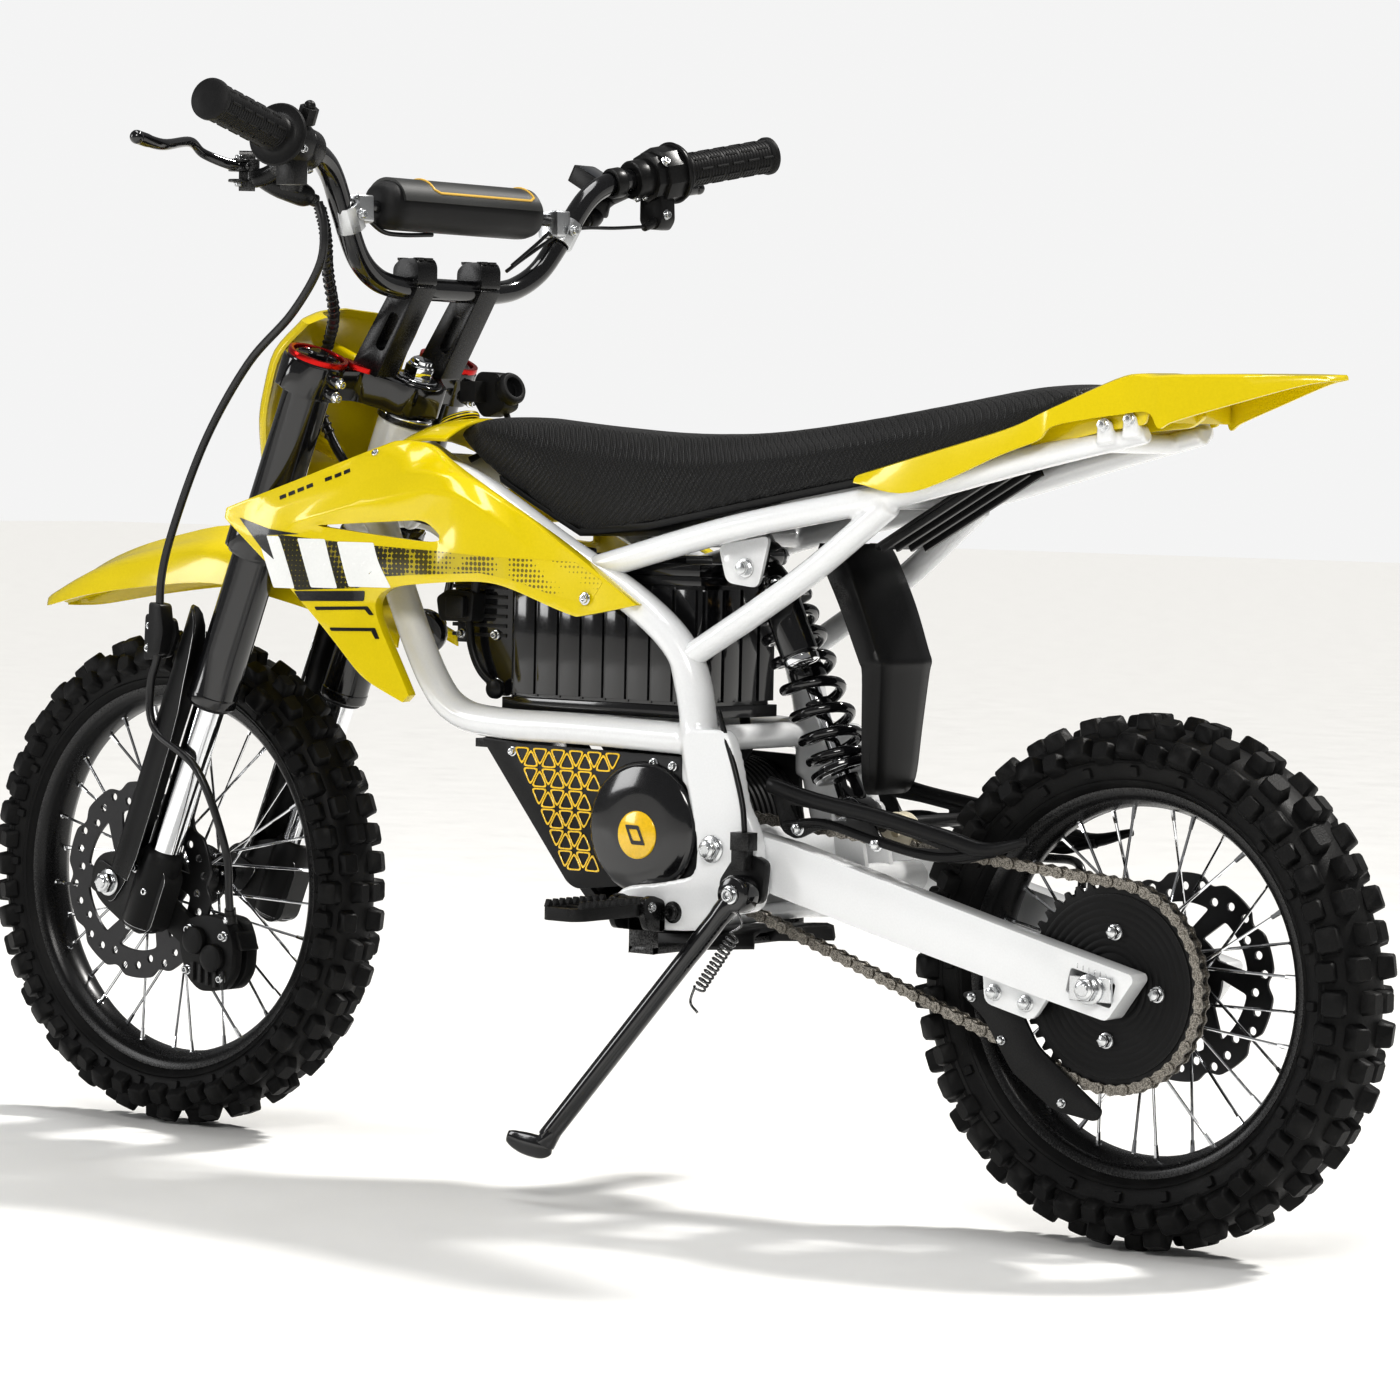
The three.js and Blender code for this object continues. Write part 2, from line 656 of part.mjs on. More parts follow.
// Like loft, for rings that lie flat one above the other.
function loftAlongZ(rings) {
  const turnedRings = rings.map((ring) => ring.map(([x, y, z]) => [z, y, x]));
  const geometry = loft(turnedRings);
  const place = geometry.attributes.position;
  for (let i = 0; i < place.count; i += 1) {
    const [x, z] = [place.getX(i), place.getZ(i)];
    place.setX(i, z);
    place.setZ(i, x);
  }
  const index = [...geometry.index.array];
  for (let i = 0; i < index.length; i += 3) [index[i + 1], index[i + 2]] = [index[i + 2], index[i + 1]];
  geometry.setIndex(index);
  return geometry;
}

// ------------------------------------------------------- pegs and side stand

function addPegs() {
  const [x, y, z] = PEG_HINGE;
  const lug = join(
    box(x - 22, x - 15, 107, y + 8, z - 24, z + 6),
    box(x + 15, x + 22, 107, y + 8, z - 24, z + 6),
    box(x - 22, x + 22, 107, y - 12, z - 24, z - 12),
  );
  const bar = box(x - 22, x + 22, -116, 116, z - 48, z - 40);
  const post = box(x - 22, x + 22, 107, 116, z - 48, z - 14);
  add('peg_bracket', join(lug, mirrored(lug), bar, post, mirrored(post)), BLACK_METAL);
  const tooth = (i) => box(x - 22, x + 22, y + 24 + 24 * i, y + 32 + 24 * i, z, z + 8);
  const peg = join(
    box(x - 14, x + 14, y - 8, y + 12, z - 11, z + 4),
    cut(
      box(x - 22, x + 22, y + 10, y + 108, z - 10, z + 2),
      box(x - 12, x + 12, y + 22, y + 98, z - 20, z + 12),
    ),
    ...[0, 1, 2, 3].map(tooth),
  );
  add('footpeg_left', peg, BLACK_METAL);
  add('footpeg_right', mirrored(peg), BLACK_METAL);
}

function addStand() {
  const [x, y, z] = STAND_PIVOT;
  const stand = join(
    rod([x, y - 13, z], [x, y + 9, z], 17, 16),
    rod([x + 4, y + 2, z - 6], between(STAND_PIVOT, STAND_FOOT, 0.97), 9, 10, 7),
    rod(
      [STAND_FOOT[0] + 28, STAND_FOOT[1], STAND_FOOT[2] + 3],
      [STAND_FOOT[0] - 26, STAND_FOOT[1], STAND_FOOT[2] - 2],
      7,
      8,
      9,
    ),
  );
  add('side_stand', stand, BLACK_METAL);
}

// ------------------------------------------------------------------ front end

function addForks() {
  const front = new THREE.Group();
  front.position.set(...STEER_TOP);
  front.rotation.y = -RAKE;
  model.add(front);

  const clamp = (low, high, stem, legRadius) => {
    const shape = outline([
      [-22, -24], [20, -FORK_HALF - 20], [FORK_AHEAD + 24, -FORK_HALF - 30], [FORK_AHEAD + 30, -60],
      [22, -30], [22, 30], [FORK_AHEAD + 30, 60], [FORK_AHEAD + 24, FORK_HALF + 30], [20, FORK_HALF + 20],
      [-22, 24],
    ]);
    const slab = new THREE.ExtrudeGeometry(shape, { depth: high - low, bevelEnabled: false });
    const leg = (y) => rod([FORK_AHEAD, y, low - 5], [FORK_AHEAD, y, high + 5], legRadius, 18);
    return cut(join(slab.translate(0, 0, low), ...stem), leg(FORK_HALF), leg(-FORK_HALF));
  };
  const nut = rod([0, 0, CLAMP_TOP[1] - 2], [0, 0, -10], 15, 6);
  const topBore = rod([0, 0, -80], [0, 0, CLAMP_TOP[1] - 12], 14.5, 16);
  add('top_clamp', cut(clamp(...CLAMP_TOP, [nut], 24.6), topBore), BLACK_METAL, front);
  const stem = rod([0, 0, CLAMP_LOW[0]], [0, 0, CLAMP_TOP[1] - 14], 14, 16);
  add('bottom_clamp', clamp(...CLAMP_LOW, [stem], 24.6), BLACK_METAL, front);

  for (const [name, side] of [['left', 1], ['right', -1]]) {
    const y = side * FORK_HALF;
    const at = (z) => [FORK_AHEAD, y, z];
    const outer = join(
      rod(at(TUBE_BOTTOM), at(TUBE_TOP - 6), 24, 18),
      rod(at(TUBE_TOP - 8), at(TUBE_TOP), 15, 6),
    );
    const bore = rod(at(TUBE_BOTTOM - 5), at(LEG_TOP + 90), 16.5, 18);
    add(`fork_tube_${name}`, cut(outer, bore), BLACK_METAL, front);
    const foot = plate([
      [FORK_AHEAD - 20, -560], [FORK_AHEAD + 16, -548], [AXLE_LOCAL[0] + 24, -580],
      [AXLE_LOCAL[0] + 22, -618],
      [AXLE_LOCAL[0], -624], [FORK_AHEAD - 8, -632], [FORK_AHEAD - 20, -620],
    ], FORK_HALF - 16, FORK_HALF + 14);
    const guard = plate([
      [FORK_AHEAD + 34, TUBE_BOTTOM + 84], [FORK_AHEAD + 48, TUBE_BOTTOM + 84],
      [FORK_AHEAD + 52, TUBE_BOTTOM + 30],
      [FORK_AHEAD + 50, -570], [FORK_AHEAD + 20, -586], [FORK_AHEAD + 20, TUBE_BOTTOM - 96],
      [FORK_AHEAD + 30, TUBE_BOTTOM - 80],
    ], FORK_HALF - 14, FORK_HALF + 14);
    const leg = join(
      rod([FORK_AHEAD, FORK_HALF, -610], [FORK_AHEAD, FORK_HALF, LEG_TOP], 15.5, 18),
      rod([FORK_AHEAD, FORK_HALF, -625], [FORK_AHEAD, FORK_HALF, -545], 20, 18),
      foot,
      guard,
    );
    const axleBore = rod([AXLE_LOCAL[0], 70, AXLE_LOCAL[1]], [AXLE_LOCAL[0], 120, AXLE_LOCAL[1]], 9, 14);
    const bored = cut(leg, axleBore);
    add(`fork_lower_${name}`, side > 0 ? bored : mirrored(bored), CHROME, front);
  }
}

function addFrontAxle() {
  const [x, , z] = FRONT_AXLE;
  const axle = join(
    rod([x, -112, z], [x, 112, z], 7.5, 12),
    rod([x, 110 + GAP, z], [x, 118, z], 12, 6),
    rod([x, -118, z], [x, -110 - GAP, z], 12, 6),
  );
  add('front_axle', axle, CHROME);
  const caliper = cut(
    join(box(1002, 1066, 50, 82, 150, 216), box(1040, 1100, 69.5, 75.5, 196, 232)),
    disc([FRONT_AXLE[0], FRONT_AXLE[2]], 101, 63, 69, 32),
  );
  add('front_caliper', caliper, BLACK_METAL);
}

function gripPoint(t, side) {
  const p = between(GRIP_INNER, GRIP_END, t);
  return side > 0 ? p : flipY(p);
}

function addBars() {
  const half = [
    [812, 0, 834], [812, 72, 834], [811, 104, 840], [807, 134, 858], [801, 160, 892], [793, 188, 932],
    [785, 212, 947], gripPoint(-0.35, 1), gripPoint(0, 1), gripPoint(0.45, 1), gripPoint(0.9, 1),
  ];
  const route = [...half.slice(1).reverse().map(flipY), ...half];
  const crossbar = rod([801, -158, 908], [801, 158, 908], 6, 8);
  const clamps = [-1, 1].map((side) => rod([800, side * 150, 886], [796, side * 172, 918], 15, 10));
  add('handlebar', join(tube(route, BAR_R, 36, 8), crossbar, ...clamps), BLACK_METAL);
  for (const [name, side] of [['left', 1], ['right', -1]]) {
    const y = side * 47;
    const foot = steerPoint(15, CLAMP_TOP[1] + GAP);
    const shape = [
      [foot[0] - 16, foot[2] - 4], [foot[0] + 16, foot[2] + 8.5], [829, 836], [828, 856],
      [812, 864], [798, 858], [795, 834],
    ];
    const holder = plate(shape, y - 14, y + 14, []);
    const bar = rod([812, y - 20, 834], [812, y + 20, 834], BAR_R + 1.2, 14);
    const slot = rod([826, y - 20, 805], [834, y + 20, 795], 5, 8);
    add(`riser_${name}`, cut(holder, bar, slot), BLACK_METAL);
  }
  const pad = rod([803, -116, 911], [803, 116, 911], 25, 18);
  add('bar_pad', cut(pad, rod([801, -130, 908], [801, 130, 908], 6.5, 10)), BLACK);
}

function addControls() {
  const sleeve = (from, to, radius, side, sides = 16) => (
    rod(gripPoint(from, side), gripPoint(to, side), radius, sides)
  );
  const bore = (side) => rod(gripPoint(-0.8, side), gripPoint(0.93, side), BAR_R + 1.4, 12);
  const grip = (side) => cut(
    join(
      sleeve(0.02, 1, GRIP_R, side),
      sleeve(0.95, 1, GRIP_R + 2.5, side),
      sleeve(0, 0.04, 29, side, 20),
    ),
    bore(side),
  );
  add('grip_left', grip(1), RUBBER);
  add('throttle_grip', grip(-1), RUBBER);
  const perch = (side) => {
    const [x, y, z] = LEVER_PIVOT;
    const at = (px, py, pz) => [px, side * py, pz];
    return cut(
      join(
        rod(gripPoint(-0.44, side), gripPoint(-0.28, side), 19, 12),
        rod(at(786, y - 12, 946), at(x - 16, y - 8, z - 12), 9, 8),
        rod(at(806, y - 52, 914), at(x - 12, y - 10, z - 10), 11, 10),
        rod(at(x, y, z - 14), at(x, y, z - 4.8), 10, 12),
        rod(at(x - 18, y - 8, z - 10), at(x, y, z - 10), 4.6, 8),
      ),
      bore(side),
    );
  };
  add('perch_left', perch(1), BLACK_METAL);
  const lever = (side) => {
    const [x, y, z] = LEVER_PIVOT;
    const route = [
      [x - 5, y - 5, z], [x, y + 16, z + 2], [x + 8, y + 40, z + 10], [x + 4, y + 62, z + 19],
      between(LEVER_PIVOT, LEVER_TIP, 0.75), LEVER_TIP,
    ];
    const points = side > 0 ? route : route.map(flipY);
    return join(
      tube(points, 4.2, 14, 6),
      new THREE.SphereGeometry(7, 8, 6).translate(...points[points.length - 1]),
    );
  };
  add('lever_left', lever(1), BLACK_METAL);
  add('lever_right', lever(-1), BLACK_METAL);
  const housing = cut(
    join(
      perch(-1),
      rod(gripPoint(-0.29, -1), gripPoint(-0.02, -1), 30, 16),
      box(755, 785, -284, -262, 905, 945),
    ),
    bore(-1),
  );
  add('throttle_housing', housing, BLACK);
  const display = cut(
    join(
      box(800, 830, -236, -204, 941, 963),
      rod(gripPoint(-0.64, -1), gripPoint(-0.54, -1), 15, 12),
      rod([784, -218, 950], [806, -218, 952], 5, 8),
    ),
    bore(-1),
  );
  add('display', display, BLACK);
}

function addFrontPanels() {
  const row = (up, half, ahead, bow) => {
    const middle = steerPoint(ahead + bow, up);
    const edge = steerPoint(ahead, up);
    return [
      [edge[0], -half, edge[2]], [middle[0], -half * 0.5, middle[2]], [middle[0] + 3, 0, middle[2]],
      [middle[0], half * 0.5, middle[2]], [edge[0], half, edge[2]],
      [edge[0] - 4, half, edge[2]], [middle[0] - 4, half * 0.5, middle[2]], [middle[0] - 1, 0, middle[2]],
      [middle[0] - 4, -half * 0.5, middle[2]], [edge[0] - 4, -half, edge[2]],
    ];
  };
  const rows = [
    row(4, 60, 92, 10), row(-6, 82, 94, 10), row(-42, 92, 106, 8), row(-110, 93, 98, 14),
    row(-150, 84, 84, 18), row(-172, 60, 78, 14),
  ];
  add('number_plate', loftAlongZ(rows), YELLOW);
  const ring = (px, half, low, high) => [
    [px, -half, low], [px, -half * 0.82, high - 14], [px, 0, high], [px, half * 0.82, high - 14],
    [px, half, low],
    [px, half - 4, low], [px, half * 0.76, high - 18], [px, 0, high - 4], [px, -half * 0.76, high - 18],
    [px, -half + 4, low],
  ];
  add('front_fender', loft([
    ring(830, 48, 492, 516), ring(890, 54, 512, 540), ring(950, 60, 530, 564), ring(1050, 66, 546, 603),
    ring(1150, 66, 538, 590), ring(1230, 58, 528, 568), ring(1300, 40, 516, 536), ring(1325, 18, 514, 524),
  ]), YELLOW);
}

function addHoses() {
  const brake = tube([
    [800, 199, 908], [795, 197, 885], [802, 194, 850], [850, 178, 806], [930, 150, 760], [997, 134, 690],
    [1040, 130, 610], [1062, 127, 550], [1067, 123, 485], [1080, 121, 445], [1072, 122, 403],
    [1016, 121, 366], [990, 108, 292], [1002, 88, 240], [1010, 77, 218],
  ], 4, 30, 8);
  add('front_brake_hose', brake, BLACK);
  const loom = tube([
    [812, 184, 905], [815, 172, 880], [838, 142, 845], [878, 88, 808], [922, 48, 776], [934, 48, 735],
    [912, 50, 690], [880, 52, 655], [840, 66, 640], [800, 72, 622], [760, 60, 610],
  ], 6, 24, 8);
  add('cable_loom', loom, BLACK);
}

// ------------------------------------------------------------------ assembly

addRearWheel();
addFrontWheel();
addFrame();
addSubframe();
addBattery();
addMotor();
addSwingarm();
addChain();
addRearBrake();
addShock();
addSeat();
addTankPanels();
addTail();
addPegs();
addStand();
addForks();
addFrontAxle();
addBars();
addControls();
addFrontPanels();
addHoses();

const bounds = new THREE.Box3().setFromObject(model);
const middle = bounds.getCenter(new THREE.Vector3());
model.position.set(-middle.x, -middle.y, -bounds.min.z);

export default model;
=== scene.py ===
"""Looks of a child's electric dirt bike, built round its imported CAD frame.

Shapes are drawn in the part's own design frame: millimetres, rear axle at x = 0,
ground at z = 0, +X forward, +Y to the rider's left. piece() puts them in the row frame.
"""

import math

import bmesh
import bpy
from mathutils import Matrix, Vector
from mathutils.bvhtree import BVHTree
from mathutils.geometry import delaunay_2d_cdt


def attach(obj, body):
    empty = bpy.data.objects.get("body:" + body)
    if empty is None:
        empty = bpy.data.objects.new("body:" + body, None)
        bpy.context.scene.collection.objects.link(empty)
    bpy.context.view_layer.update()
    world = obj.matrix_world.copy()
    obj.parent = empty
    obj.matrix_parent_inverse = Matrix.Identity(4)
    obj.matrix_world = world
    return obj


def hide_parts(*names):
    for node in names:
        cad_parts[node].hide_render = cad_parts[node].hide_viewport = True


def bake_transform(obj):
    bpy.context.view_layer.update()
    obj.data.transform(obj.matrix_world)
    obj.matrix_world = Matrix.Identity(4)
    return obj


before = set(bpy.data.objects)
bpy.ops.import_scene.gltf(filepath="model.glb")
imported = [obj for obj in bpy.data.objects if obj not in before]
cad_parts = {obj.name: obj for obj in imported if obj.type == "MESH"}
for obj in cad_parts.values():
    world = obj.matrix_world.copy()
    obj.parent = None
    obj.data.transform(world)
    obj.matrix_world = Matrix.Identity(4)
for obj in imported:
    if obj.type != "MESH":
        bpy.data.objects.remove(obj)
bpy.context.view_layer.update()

ORIGIN_X = 579.0
MM = 0.001
RAKE = math.radians(21.5)
STEER_TOP = Vector((838.6, 0, 773))
PIVOT = Vector((398, 0, 328))
REAR_AXLE = Vector((0, 0, 233))
FRONT_AXLE = Vector((1143, 0, 248))
MOTOR_AXIS = Vector((493, 0, 336))
CHAIN_Y = 58
FORK_AHEAD = 46
FORK_HALF = 96
X, Y, Z = Vector((1, 0, 0)), Vector((0, 1, 0)), Vector((0, 0, 1))

# Points of the front end: ahead of the steering axis, to the left, and up along it.
STEER = Matrix.Translation(STEER_TOP) @ Matrix.Rotation(-RAKE, 4, "Y")


def row(p):
    return Vector(((p[0] - ORIGIN_X) * MM, p[1] * MM, p[2] * MM))


# ------------------------------------------------------------------ camera, stage


def add_camera():
    """The view from behind the bike's left side, a little above the wheels."""
    right = Vector((-0.79359329, -0.6081224, 0.01992085))
    up = Vector((0.04516319, -0.02622423, 0.99863536))
    ahead = Vector((0.60677012, -0.79341, -0.04827612))
    data = bpy.data.cameras.new("camera")
    data.sensor_width = 36
    data.lens = 126.93
    camera = bpy.data.objects.new("camera", data)
    bpy.context.scene.collection.objects.link(camera)
    place = Matrix((right, up, -ahead)).transposed().to_4x4()
    place.translation = (-2.853975, 3.623443, 0.675182)
    camera.matrix_world = place
    bpy.context.scene.camera = camera


def add_light(name, place, aim, size, power, tint=(1, 1, 1)):
    data = bpy.data.lights.new(name, "AREA")
    data.shape = "RECTANGLE"
    data.size, data.size_y = size
    data.energy = power
    data.color = tint
    light = bpy.data.objects.new(name, data)
    bpy.context.scene.collection.objects.link(light)
    light.location = place
    light.rotation_mode = "QUATERNION"
    light.rotation_quaternion = (Vector(aim) - Vector(place)).to_track_quat("-Z", "Y")


def add_stage():
    world = bpy.data.worlds.new("studio")
    bpy.context.scene.world = world
    world.use_nodes = True
    sky = world.node_tree.nodes["Background"]
    node = nodes_of(world)
    seen = node("LightPath").outputs["Is Camera Ray"]
    sky.inputs["Color"].default_value = (1, 1, 1, 1)
    world.node_tree.links.new(math_node(node, "ADD", math_node(node, "MULTIPLY", seen, 0.67), 0.25),
                              sky.inputs["Strength"])
    bpy.context.scene.view_settings.view_transform = "Standard"
    bpy.context.scene.view_settings.gamma = 0.85
    add_light("key", (-2.2, 3.4, 3.0), (0, 0, 0.5), (1.6, 1.0), 85, (1, 0.98, 0.95))
    add_light("front", (2.8, 2.8, 1.6), (0.2, 0, 0.5), (0.9, 1.8), 38)
    add_light("top", (0.2, 0.4, 3.4), (0, 0, 0.5), (2.4, 0.8), 40)
    data = bpy.data.lights.new("sun", "SUN")
    data.energy = 3.3
    data.angle = math.radians(7)
    data.color = (1, 0.98, 0.95)
    sun = bpy.data.objects.new("sun", data)
    bpy.context.scene.collection.objects.link(sun)
    sun.rotation_mode = "QUATERNION"
    sun.rotation_quaternion = Vector((0.5, 0.95, -1.35)).to_track_quat("-Z", "Y")
    half = 30
    mesh = bpy.data.meshes.new("floor")
    corners = [(-half, -half, 0), (half, -half, 0), (half, half, 0), (-half, half, 0)]
    mesh.from_pydata(corners, [], [(0, 1, 2, 3)])
    floor = bpy.data.objects.new("floor", mesh)
    bpy.context.scene.collection.objects.link(floor)
    floor.location.z = -0.0005
    mesh.materials.append(look("floor", (0.9, 0.9, 0.89), 0.6, grain=(40, 0.02), vary=0.004, specular=0.1))


# ---------------------------------------------------------------------- materials


def nodes_of(material):
    """Adds a node by type with plain settings, and links sockets by name."""
    tree = material.node_tree

    def node(kind, settings=None, **inputs):
        made = tree.nodes.new("ShaderNode" + kind)
        for key, value in (settings or {}).items():
            setattr(made, key, value)
        for key, value in inputs.items():
            socket = made.inputs[int(key[1:]) if key[0] == "i" and key[1:].isdigit() else key.replace("_", " ")]
            if isinstance(value, bpy.types.NodeSocket):
                tree.links.new(value, socket)
            else:
                socket.default_value = value
        return made

    return node


def math_node(node, kind, a, b=0.0, clamp=False):
    return node("Math", {"operation": kind, "use_clamp": clamp}, i0=a, i1=b).outputs[0]


def spread(node, value, low, high, to_low, to_high):
    """Maps a value from one range to another, held inside it."""
    made = node("MapRange", None, Value=value)
    for key, number in zip(("From Min", "From Max", "To Min", "To Max"), (low, high, to_low, to_high)):
        made.inputs[key].default_value = number
    return made.outputs["Result"]


def blend_colours(node, share, a, b):
    made = node("Mix", {"data_type": "RGBA"})
    tree = made.id_data
    for socket, value in ((made.inputs[0], share), (made.inputs[6], a), (made.inputs[7], b)):
        if isinstance(value, bpy.types.NodeSocket):
            tree.links.new(value, socket)
        elif isinstance(value, (int, float)):
            socket.default_value = value
        else:
            socket.default_value = (*value, 1)
    return made.outputs[2]


def look(name, colour, rough, metal=0.0, coat=0.0, grain=(300, 0.03), vary=0.06, wear=None,
         paint=None, relief=None, sheen=0.0, specular=0.5, anisotropic=0.0):
    """A finish: mottled colour, uneven gloss, fine grain, and worn edges where asked for.
    paint(node, place, colour) may draw on the colour, and relief(node, place) may add height."""
    material = bpy.data.materials.new(name)
    material.use_nodes = True
    node = nodes_of(material)
    shader = material.node_tree.nodes["Principled BSDF"]
    links = material.node_tree.links
    place = node("TexCoord").outputs["Object"]
    broad = node("TexNoise", None, Vector=place, Scale=9.0, Detail=4.0).outputs["Fac"]
    fine = node("TexNoise", None, Vector=place, Scale=float(grain[0]), Detail=3.0).outputs["Fac"]
    both = math_node(node, "ADD", math_node(node, "MULTIPLY", broad, 0.6), math_node(node, "MULTIPLY", fine, 0.4))
    deep = tuple(c * (1 - vary) for c in colour)
    pale = tuple(min(1, c * (1 + vary) + 0.002) for c in colour)
    tone = blend_colours(node, spread(node, both, 0.35, 0.65, 0, 1), deep, pale)
    if paint:
        tone = paint(node, place, tone)
    if wear:
        edges = node("NewGeometry").outputs["Pointiness"]
        rubbed = math_node(node, "MULTIPLY", spread(node, edges, 0.53, 0.6, 0, 1),
                           spread(node, fine, 0.4, 0.6, 0.1, 0.8))
        tone = blend_colours(node, rubbed, tone, wear)
    links.new(tone, shader.inputs["Base Color"])
    gloss = spread(node, both, 0.35, 0.65, max(0.03, rough * 0.82), min(1, rough * 1.18))
    links.new(gloss, shader.inputs["Roughness"])
    shader.inputs["Metallic"].default_value = metal
    shader.inputs["Coat Weight"].default_value = coat
    shader.inputs["Coat Roughness"].default_value = 0.05
    shader.inputs["Sheen Weight"].default_value = sheen
    shader.inputs["Specular IOR Level"].default_value = specular
    shader.inputs["Anisotropic"].default_value = anisotropic
    height = fine
    if relief:
        height = math_node(node, "ADD", math_node(node, "MULTIPLY", fine, 0.3), relief(node, place))
    bump = node("Bump", None, Strength=float(grain[1]), Distance=0.0006, Height=height)
    links.new(bump.outputs["Normal"], shader.inputs["Normal"])
    return material


def weave_distance(node, place):
    """How far a point is from the lines of a fine diamond net, as on grippy seat vinyl."""
    turned = node("Mapping", None, Vector=place, Rotation=(0.0, math.radians(45), math.radians(38)))
    cells = node("TexVoronoi", {"feature": "DISTANCE_TO_EDGE"}, Vector=turned.outputs[0], Scale=330.0, Randomness=0.0)
    return cells.outputs["Distance"]


def weave_relief(node, place):
    return spread(node, weave_distance(node, place), 0.0, 0.2, 0, 1)


def weave_paint(node, place, tone):
    """The same net, with darker lines."""
    return blend_colours(node, spread(node, weave_distance(node, place), 0.02, 0.25, 0, 1),
                         (0.004, 0.004, 0.004), tone)


def dot_paint(node, place, tone):
    """Small dark cells on yellow, larger and darker towards the front of the band."""
    cells = node("TexVoronoi", {"feature": "F1"}, Vector=place, Scale=210.0, Randomness=0.1)
    ahead = node("SeparateXYZ", None, Vector=place).outputs["X"]
    size = spread(node, ahead, -0.06, 0.2, 0.2, 0.62)
    spot = math_node(node, "LESS_THAN", cells.outputs["Distance"], size)
    dark = blend_colours(node, spread(node, ahead, -0.04, 0.2, 0, 1), (0.26, 0.2, 0.006), (0.02, 0.018, 0.006))
    ground = blend_colours(node, spread(node, ahead, 0.02, 0.26, 0, 1), tone, (0.2, 0.16, 0.006))
    return blend_colours(node, math_node(node, "MULTIPLY", spot, spread(node, ahead, -0.09, 0.02, 0.3, 1)),
                         ground, dark)


def brushed_relief(node, place):
    rough = node("TexNoise", None, Vector=place, Scale=1400.0, Detail=2.0)
    return rough.outputs["Fac"]


def dust_paint(node, place, tone):
    """Pale dust that gathers in patches on rubber."""
    dust = node("TexNoise", None, Vector=place, Scale=28.0, Detail=8.0).outputs["Fac"]
    return blend_colours(node, spread(node, dust, 0.5, 0.8, 0, 0.3), tone, (0.035, 0.034, 0.032))


def make_looks():
    yellow = (0.70, 0.56, 0.0)
    return {
        "white": look("white_paint", (0.78, 0.79, 0.80), 0.22, coat=0.6, grain=(500, 0.04), vary=0.03,
                      wear=(0.9, 0.9, 0.9)),
        "yellow": look("yellow_plastic", yellow, 0.2, coat=0.5, grain=(420, 0.05), vary=0.04),
        "dots": look("printed_cells", yellow, 0.25, coat=0.5, grain=(420, 0.05), vary=0.04, paint=dot_paint),
        "print_white": look("printed_white", (0.80, 0.81, 0.80), 0.25, coat=0.5, grain=(420, 0.04), vary=0.03),
        "print_black": look("printed_black", (0.008, 0.008, 0.008), 0.25, coat=0.5, grain=(420, 0.04), vary=0.2),
        "plastic": look("black_plastic", (0.004, 0.004, 0.0044), 0.33, grain=(900, 0.12), vary=0.3,
                        wear=(0.04, 0.04, 0.04), specular=0.28),
        "gloss": look("gloss_black", (0.006, 0.006, 0.007), 0.12, coat=0.6, grain=(300, 0.03), vary=0.3),
        "metal": look("black_metal", (0.005, 0.005, 0.0056), 0.28, metal=0.35, grain=(700, 0.1), vary=0.3,
                      wear=(0.12, 0.12, 0.12)),
        "cast": look("cast_black", (0.006, 0.006, 0.0063), 0.42, metal=0.3, grain=(1500, 0.35), vary=0.25,
                     wear=(0.06, 0.06, 0.06), specular=0.3),
        "steel": look("zinc_steel", (0.62, 0.63, 0.64), 0.22, metal=1.0, grain=(900, 0.06), vary=0.1),
        "chrome": look("chrome", (0.8, 0.81, 0.83), 0.09, metal=1.0, grain=(300, 0.02), vary=0.04),
        "alloy": look("bare_alloy", (0.55, 0.56, 0.57), 0.3, metal=1.0, grain=(800, 0.1), vary=0.1),
        "disc": look("brake_steel", (0.06, 0.06, 0.062), 0.36, metal=1.0, grain=(1200, 0.15), vary=0.12,
                     relief=brushed_relief, anisotropic=0.5),
        "chain": look("chain_steel", (0.045, 0.04, 0.034), 0.38, metal=0.9, grain=(1400, 0.1), vary=0.35,
                      wear=(0.5, 0.47, 0.42)),
        "gold": look("gold_anodised", (0.72, 0.43, 0.1), 0.25, metal=1.0, grain=(600, 0.05), vary=0.1),
        "red": look("red_anodised", (0.5, 0.012, 0.01), 0.25, metal=0.85, grain=(600, 0.05), vary=0.1),
        "tyre": look("tyre_rubber", (0.004, 0.004, 0.0042), 0.5, grain=(650, 0.4), vary=0.3, paint=dust_paint,
                     specular=0.2),
        "rubber": look("rubber", (0.008, 0.008, 0.0085), 0.5, grain=(900, 0.25), vary=0.25, specular=0.25),
        "hose": look("hose_rubber", (0.01, 0.01, 0.011), 0.3, grain=(1100, 0.1), vary=0.2),
        "seat": look("seat_vinyl", (0.006, 0.006, 0.0065), 0.48, grain=(900, 0.9), vary=0.12,
                     relief=weave_relief, paint=weave_paint, sheen=0.05, specular=0.3),
        "cream": look("nylon_roller", (0.62, 0.57, 0.45), 0.4, grain=(500, 0.1), vary=0.08),
        "amber": look("badge_yellow", (0.85, 0.55, 0.01), 0.2, coat=0.8, grain=(300, 0.02), vary=0.12),
        "cover": look("pad_cover", (0.005, 0.005, 0.0055), 0.5, grain=(1000, 0.5), vary=0.15, sheen=0.05,
                      specular=0.3),
        "panel": look("pad_panel", (0.03, 0.031, 0.03), 0.45, grain=(1000, 0.25), vary=0.1),
        "gold_print": look("printed_gold", (0.7, 0.45, 0.08), 0.4, grain=(600, 0.05), vary=0.08),
        "glass": look("dark_glass", (0.01, 0.012, 0.016), 0.06, coat=0.8, grain=(200, 0.01), vary=0.3),
    }


# ------------------------------------------------------------------------- shapes


